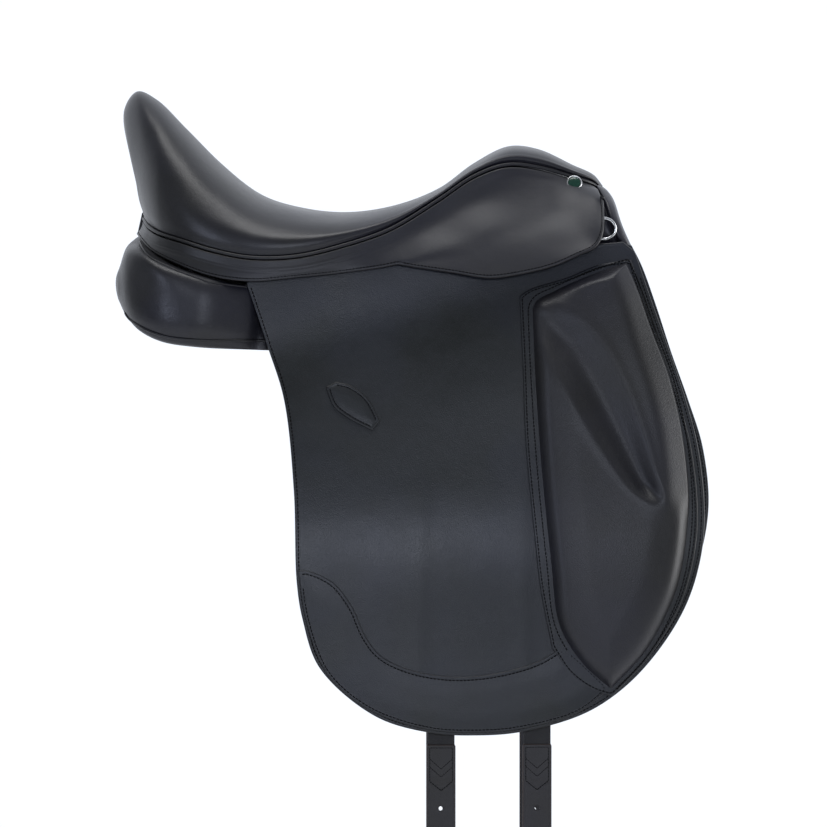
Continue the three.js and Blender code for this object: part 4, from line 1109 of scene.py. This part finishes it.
def panel_line(p, height, last_x):
    """A line round the outside of the panel at a height that depends on x, from its back towards the flap."""
    line = []
    for ring in p:
        over = ring[:, 2] - height(ring[:, 0])
        best = None
        for j in range(len(ring)):
            k = (j + 1) % len(ring)
            if (over[j] > 0) == (over[k] > 0):
                continue
            at = ring[j] + (ring[k] - ring[j]) * over[j] / (over[j] - over[k])
            if best is None or at[1] > best[1]:
                best = at
        if best is None or best[1] < ring[:, 1].mean() or best[0] < -239:
            continue
        if best[0] > last_x:
            break
        inward = ring[:, 1].mean() - best[1]
        sunk = max(0.0, 1 - len(line) / 6)
        line.append(best + [2.5 * sunk, 0.12 * inward * sunk, 2.5 * sunk])
    return np.array(line)


# ---- billets ----
WEB_THICKNESS = 1.8
WEB_INSET = 6.5              # the webbing's outer face lies this far inside the flap's


def make_billet_web(where, x):
    across = np.array([-1, -0.985, -0.95, -0.88, -0.7, -0.35, 0, 0.35, 0.7, 0.88, 0.95, 0.985, 1])
    across *= BILLET_WIDTH / 2 - 1.0
    grid = []
    for z in np.linspace(4, BILLET_TOP - 18, 150):
        y = float(flap_width(x, z)) - WEB_INSET if z > BILLET_TOP + 14 else billet_y(x) + 0.9
        grid.append([(x + a, y, z) for a in across])
    grid = np.array(grid)
    grid[..., 1] = smooth_rows(grid[..., 1])
    data, _ = leather_grid(grid, WEB_THICKNESS, lambda p: p * 0 + [0, 1, 0], round_r=0.7)
    webs = place_pair(f"billet_webbing_{where}_{{}}", data, WEBBING, None,
                      [f"billet_web_{where}_{{}}"])
    for name, side in SIDES.items():
        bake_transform(webs[name])


def smooth_rows(values):
    kernel = np.ones(7) / 7
    out = values.copy()
    for j in range(values.shape[1]):
        padded = np.pad(values[:, j], 3, mode="edge")
        out[:, j] = np.convolve(padded, kernel, mode="valid")
    return out


def billet_y(x):
    return float(flap_width(x, BILLET_TOP)) - BILLET_DEPTH


def billet_outline(x):
    half, low = BILLET_WIDTH / 2, BILLET_TOP - BILLET_LENGTH
    left, right, top, under = x - half, x + half, BILLET_TOP - 1.2, BILLET_TOP - 3
    runs = [
        [(left + 0.8, top), (right - 0.8, top)],
        [(right - 0.8, top), (right, under)],
        [(right, under), (right, low + 15)],
        [(right, low + 15), (x + half * 0.75, low + 5), (x, low + 0.6), (x - half * 0.75, low + 5),
         (left, low + 15)],
        [(left, low + 15), (left, under)],
        [(left, under), (left + 0.8, top)],
    ]
    return outline(runs, step=2.2)


def make_billet_strap(where, x):
    y = billet_y(x)
    centres = [(x, BILLET_TOP - HOLE_FIRST - i * HOLE_PITCH) for i in range(HOLE_COUNT)]

    def level(px, pz):
        return np.asarray(px, float) * 0 + y

    def shape(px, pz, d):
        away = np.min([np.hypot(px - cx, pz - cz) for cx, cz in centres], axis=0)
        stitched = step_up(pz, BILLET_TOP - 40, BILLET_TOP - 36)
        return 0.55 * stitched - 0.35 * bump(away, 3.0, 1.1) - 0.25 * bump(d, 2.6, 0.5)

    data = leather_sheet(billet_outline(x), level, -2, 1.6, cell=2.2, round_r=1.1, shape=shape)
    high, low = BILLET_TOP - 4.5, BILLET_TOP - 38
    half = BILLET_WIDTH / 2 - 3.2
    left, right = x - half, x + half
    lines = [
        [(left, high), (right, high), (right, low), (x, low - 9), (left, low), (left, high)],
        [(left, high - 11), (x, high - 21), (right, high - 11)],
        [(left, high - 19), (x, high - 29), (right, high - 19)],
    ]
    rows = []
    for line in lines:
        for ends in zip(line, line[1:]):
            rows += stitch_run(on_surface(ends, level, 1.95), (0, 1, 0), BILLET_STITCH)
    body = f"billet_{where}_{{}}"
    straps = place_pair(f"billet_strap_{where}_{{}}", data, STRAP_LEATHER, body, [body])
    for name, side in SIDES.items():
        punch_holes(straps[name], centres, y * side)
    place_pair(f"billet_stitching_{where}_{{}}", join_parts(rows), THREAD, body)


def punch_holes(strap, centres, y):
    pins = [lathe([(HOLE_R, y - 6), (HOLE_R, y + 6)], (cx, 0, cz), (0, 1, 0), 24) for cx, cz in centres]
    cutter = make_object("hole_punch", *join_parts(pins))
    modifier = strap.modifiers.new("holes", "BOOLEAN")
    modifier.operation = "DIFFERENCE"
    modifier.solver = "EXACT"
    modifier.object = cutter
    depsgraph = bpy.context.evaluated_depsgraph_get()
    cut = bpy.data.meshes.new_from_object(strap.evaluated_get(depsgraph))
    strap.modifiers.clear()
    strap.data = cut
    bpy.data.objects.remove(cutter)


# ---- metal and small leather ----
TAB_MIDDLE, TAB_THICKNESS = 45, 1.2


def make_dees():
    middle, half = (DEE["low"] + DEE["high"]) / 2, (DEE["high"] - DEE["low"]) / 2
    flat = [(0, h) for h in np.linspace(-half + 2, half - 2, 8)]
    bow = [(3.5 + (DEE["reach"] - 3.5) * math.cos(a), half * math.sin(a)) for a in
           np.linspace(math.pi / 2, -math.pi / 2, 33)]
    loop = flat + [(0.9, half - 0.4)] + bow + [(0.9, -half + 0.4)]
    c, s = math.cos(DEE["turn"]), math.sin(DEE["turn"])
    path = np.array([(DEE["x"] + r * c, DEE["y"] - r * s, middle + h) for r, h in loop])
    smooth = np.array([curve_point(path, t, closed=True) for t in np.linspace(0, 1, 120, endpoint=False)])
    data = tube(smooth, DEE["wire"], sides=16, closed=True, up=(s, c, 0))
    place_pair("dee_wire_{}", data, STEEL, "dee_ring_{}", ["dee_ring_{}"])


def make_dee_tabs():
    x, y = DEE["x"], DEE["y"]
    around = [(x + 3.0 * math.cos(a), y + 3.0 * math.sin(a)) for a in
              np.linspace(-math.pi / 2, math.pi / 2, 12)]
    line = [(x - 33, y - 1.6), (x - 18, y - 2.2), (x - 6, y - 3.0), *around,
            (x - 6, y + 3.0), (x - 18, y + 1.0), (x - 33, y + 0.2)]
    path = resample([curve_point(line, t) for t in np.linspace(0, 1, 160)], count=60)
    places = np.linspace(-1, 1, 18)
    heights = TAB_MIDDLE + 8 * places ** 3 * 0.02 + 7.9 * np.sin(places * math.pi / 2)
    grid = np.array([[(px, py, z) for px, py in path] for z in heights])
    data, _ = leather_grid(grid, TAB_THICKNESS, lambda p: p * 0 + [0, 0.2, 0], round_r=0.5)
    place_pair("dee_tab_leather_{}", data, STRAP_LEATHER, "saddle", ["dee_tab_{}"])


def lathe(profile, centre, axis, sides=40):
    """Spins a profile of [radius, height] round an axis."""
    axis = np.asarray(axis, float) / np.linalg.norm(axis)
    side = np.cross(axis, [0, 0, 1.0])
    side /= np.linalg.norm(side)
    over = np.cross(side, axis)
    angle = round_angles(sides)
    ring = np.cos(angle)[:, None] * side + np.sin(angle)[:, None] * over
    points = [np.asarray(centre) + axis * h + max(r, 0.02) * ring for r, h in profile]
    return np.vstack(points), grid_faces(len(profile), sides, wrap=True) + end_faces(len(profile), sides)


# The nail's rim and its enamel, as profiles of [radius, height].
NAIL_RIM = [(0.1, 0), (7.6, 0), (8.0, 0.8), (8.0, 3.0), (7.6, 4.0), (6.9, 4.3), (6.5, 4.0), (6.4, 3.4),
            (0.1, 3.4)]
NAIL_DOME = [(6.35, 3.2), (6.3, 3.7), (5.2, 4.1), (3.2, 4.45), (1.4, 4.6), (0.1, 4.62)]
NAIL_AXIS = [0.1, 1, 0.45]
NAIL_SUNK = [0, 1.2, 0.5]


def make_nails():
    centre = np.array(NAIL_SEAT) - NAIL_SUNK
    rim, dome = lathe(NAIL_RIM, centre, NAIL_AXIS), lathe(NAIL_DOME, centre, NAIL_AXIS)
    place_pair("nail_rim_{}", rim, STEEL, "saddle", ["saddle_nail_{}"])
    place_pair("nail_enamel_{}", dome, ENAMEL, "saddle")


# ---- front facing and cantle band ----
FACING_OUTER = [(69, 14), (71, 26), (74.5, 38), (72, 54), (64, 67), (52, 77.5), (38, 85), (24, 85),
                (10, 79.5), (0, 78.5)]
FACING_THICKNESS, FACING_BACK = 2.4, 213
BAND_THICKNESS, BAND_HALF, BAND_TOP, BAND_DROP = 3.0, 18, 60, 22   # the cantle band
FACING_INNER = [(51, 14), (49, 25), (43, 38), (28, 51), (14, 55), (0, 56.5)]
# Across the facing, from its back edge over the rounded front to its inner edge: [how far from the
# outer line to the inner one, forward of the leaning front plane].
FACING_SECTION = [(0.0, -34), (0.0, -24), (-0.02, -12.5), (0.10, -10), (-0.05, -7.5), (-0.02, -2.5),
                  (0.16, 1.2), (0.45, 2.4), (0.75, 1.4), (0.95, -1.2), (1.0, -5)]


def make_front_facing():
    front_x = PANEL[-1][0] + FRONT_TOP * FRONT_LEAN + 3.2
    halves = [np.array([curve_point(line, t) for t in np.linspace(0, 1, 60)])
              for line in (FACING_OUTER, FACING_INNER)]
    outer, inner = (np.vstack([half, half[-2::-1] * [-1, 1]]) for half in halves)
    rows = []
    for m in np.linspace(0, 1, 70):
        share, forward = curve_point(FACING_SECTION, m)
        line = outer + (inner - outer) * share
        x = front_x - FRONT_LEAN * line[:, 1] + forward + 4.5 * bump(line[:, 1], 76, 20)
        rows.append(np.stack([np.maximum(x, FACING_BACK), line[:, 0], line[:, 1]], axis=1))
    data, _ = leather_grid(np.array(rows), FACING_THICKNESS, lambda p: p * [0, 1, 0] + [40, 0, 30],
                           round_r=1.0)
    place("front_facing_leather", data, 1, PANEL_LEATHER, "saddle",
          ["front_facing", "head_pad"])


def make_cantle_band():
    rows = []
    for f in clustered(10, BAND_DROP):
        z = BAND_TOP - BAND_DROP * f
        rows.append([(-226 + (z - 38.5) * 0.22 + 0.0018 * y * y, y, z)
                     for y in BAND_HALF * np.linspace(-1, 1, 30)])
    data, _ = leather_grid(np.array(rows), BAND_THICKNESS, lambda p: p * 0 + [-1, 0, 0], round_r=1.0)
    place("cantle_band_leather", data, 1, SKIRT_LEATHER, "saddle", ["cantle_band"])


# ---- studio ----
VIEW_CENTRE = (0.0535, -0.15, -0.1385)
FIELD = 0.827
LENS = 500.0
SENSOR = 36.0
ELEVATION = math.radians(2.0)
FLOOR_RADIUS = 2.3
FLOOR_GAP = 0.02             # from the billets' ends to the floor
WORLD_LIGHT = (0.24, 1.08)   # in front of the saddle and behind it
WORLD_FADE = (-0.35, 0.6)
WORLD_COLOUR = (0.93, 0.97, 1.05, 1)
# Each light's name, place, aim, size in metres, watts and colour.
LIGHTS = [
    ("key", (0.4, -2.7, 0.3), (-0.03, -0.2, -0.25), (0.8, 0.3), 10, (0.9, 0.96, 1.12)),
    ("side", (-1.5, -2.2, 0.2), (-0.15, -0.1, 0.05), (0.22, 0.8), 7, (0.85, 0.93, 1.18)),
    ("front", (2.7, 0.15, 0.0), (0.27, -0.2, -0.15), (1.0, 1.5), 30, (1, 1, 1)),
    ("top", (0.1, -0.5, 2.3), (0.03, 0, -0.1), (1.5, 0.8), 22, (1, 1, 1)),
]


def make_camera():
    camera = bpy.data.cameras.new("camera")
    camera.lens = LENS
    camera.sensor_width = SENSOR
    distance = FIELD * LENS / SENSOR
    camera.clip_end = distance + 60
    obj = add_object("camera", camera)
    x, y, z = VIEW_CENTRE
    obj.location = (x, y - distance * math.cos(ELEVATION), z + distance * math.sin(ELEVATION))
    obj.rotation_euler = (math.pi / 2 - ELEVATION, 0, 0)
    bpy.context.scene.camera = obj


def make_floor():
    """A round pale floor under the saddle."""
    floor_z = CAD_BOX[0][2] - FLOOR_GAP
    points = [(FLOOR_RADIUS * math.cos(a), FLOOR_RADIUS * math.sin(a), floor_z) for a in round_angles(96)]
    mesh = bpy.data.meshes.new("floor")
    mesh.from_pydata(points, [], [tuple(range(96))])
    pale = Nodes("pale_floor")
    colour = pale.ramp(pale.noise(1.5, 2, 0.4), (0.3, (0.86, 0.86, 0.865)), (0.7, (0.89, 0.89, 0.89)))
    mesh.materials.append(pale.finish(colour, pale.range(pale.noise(3), 0.3, 0.7, 0.8, 0.9)))
    add_object("floor", mesh)


def make_light(name, location, target, size, power, colour):
    light = bpy.data.lights.new(name, "AREA")
    light.shape = "RECTANGLE"
    light.size, light.size_y = size
    light.energy = power
    light.color = colour
    obj = add_object(name, light)
    obj.location = location
    obj.rotation_euler = (Vector(target) - Vector(location)).to_track_quat("-Z", "Y").to_euler()
    obj.visible_camera = False


def make_world():
    """A studio that is white behind the saddle and dimmer in front of it."""
    world = bpy.data.worlds.new("studio")
    world.use_nodes = True
    tree = world.node_tree
    background = tree.nodes["Background"]
    split = tree.nodes.new("ShaderNodeSeparateXYZ")
    tree.links.new(tree.nodes.new("ShaderNodeTexCoord").outputs["Generated"], split.inputs[0])
    fade = tree.nodes.new("ShaderNodeMapRange")
    fade.interpolation_type = "SMOOTHSTEP"
    set_range(fade, *WORLD_FADE, *WORLD_LIGHT)
    tree.links.new(split.outputs["Y"], fade.inputs["Value"])
    tree.links.new(fade.outputs["Result"], background.inputs["Strength"])
    background.inputs["Color"].default_value = WORLD_COLOUR
    bpy.context.scene.world = world


def make_studio():
    make_camera()
    make_floor()
    make_world()
    for light in LIGHTS:
        make_light(*light)
    bpy.context.scene.view_settings.view_transform = "Standard"


# ---- build ----
make_studio()
dress_frame()
make_seat()
make_piping()
make_skirts()
make_flaps()
make_blocks()
make_wear_patches()
make_keepers()
make_sweat_flaps()
make_panels()
for billet in BILLET_X.items():
    make_billet_web(*billet)
    make_billet_strap(*billet)
make_dees()
make_dee_tabs()
make_nails()
make_front_facing()
make_cantle_band()
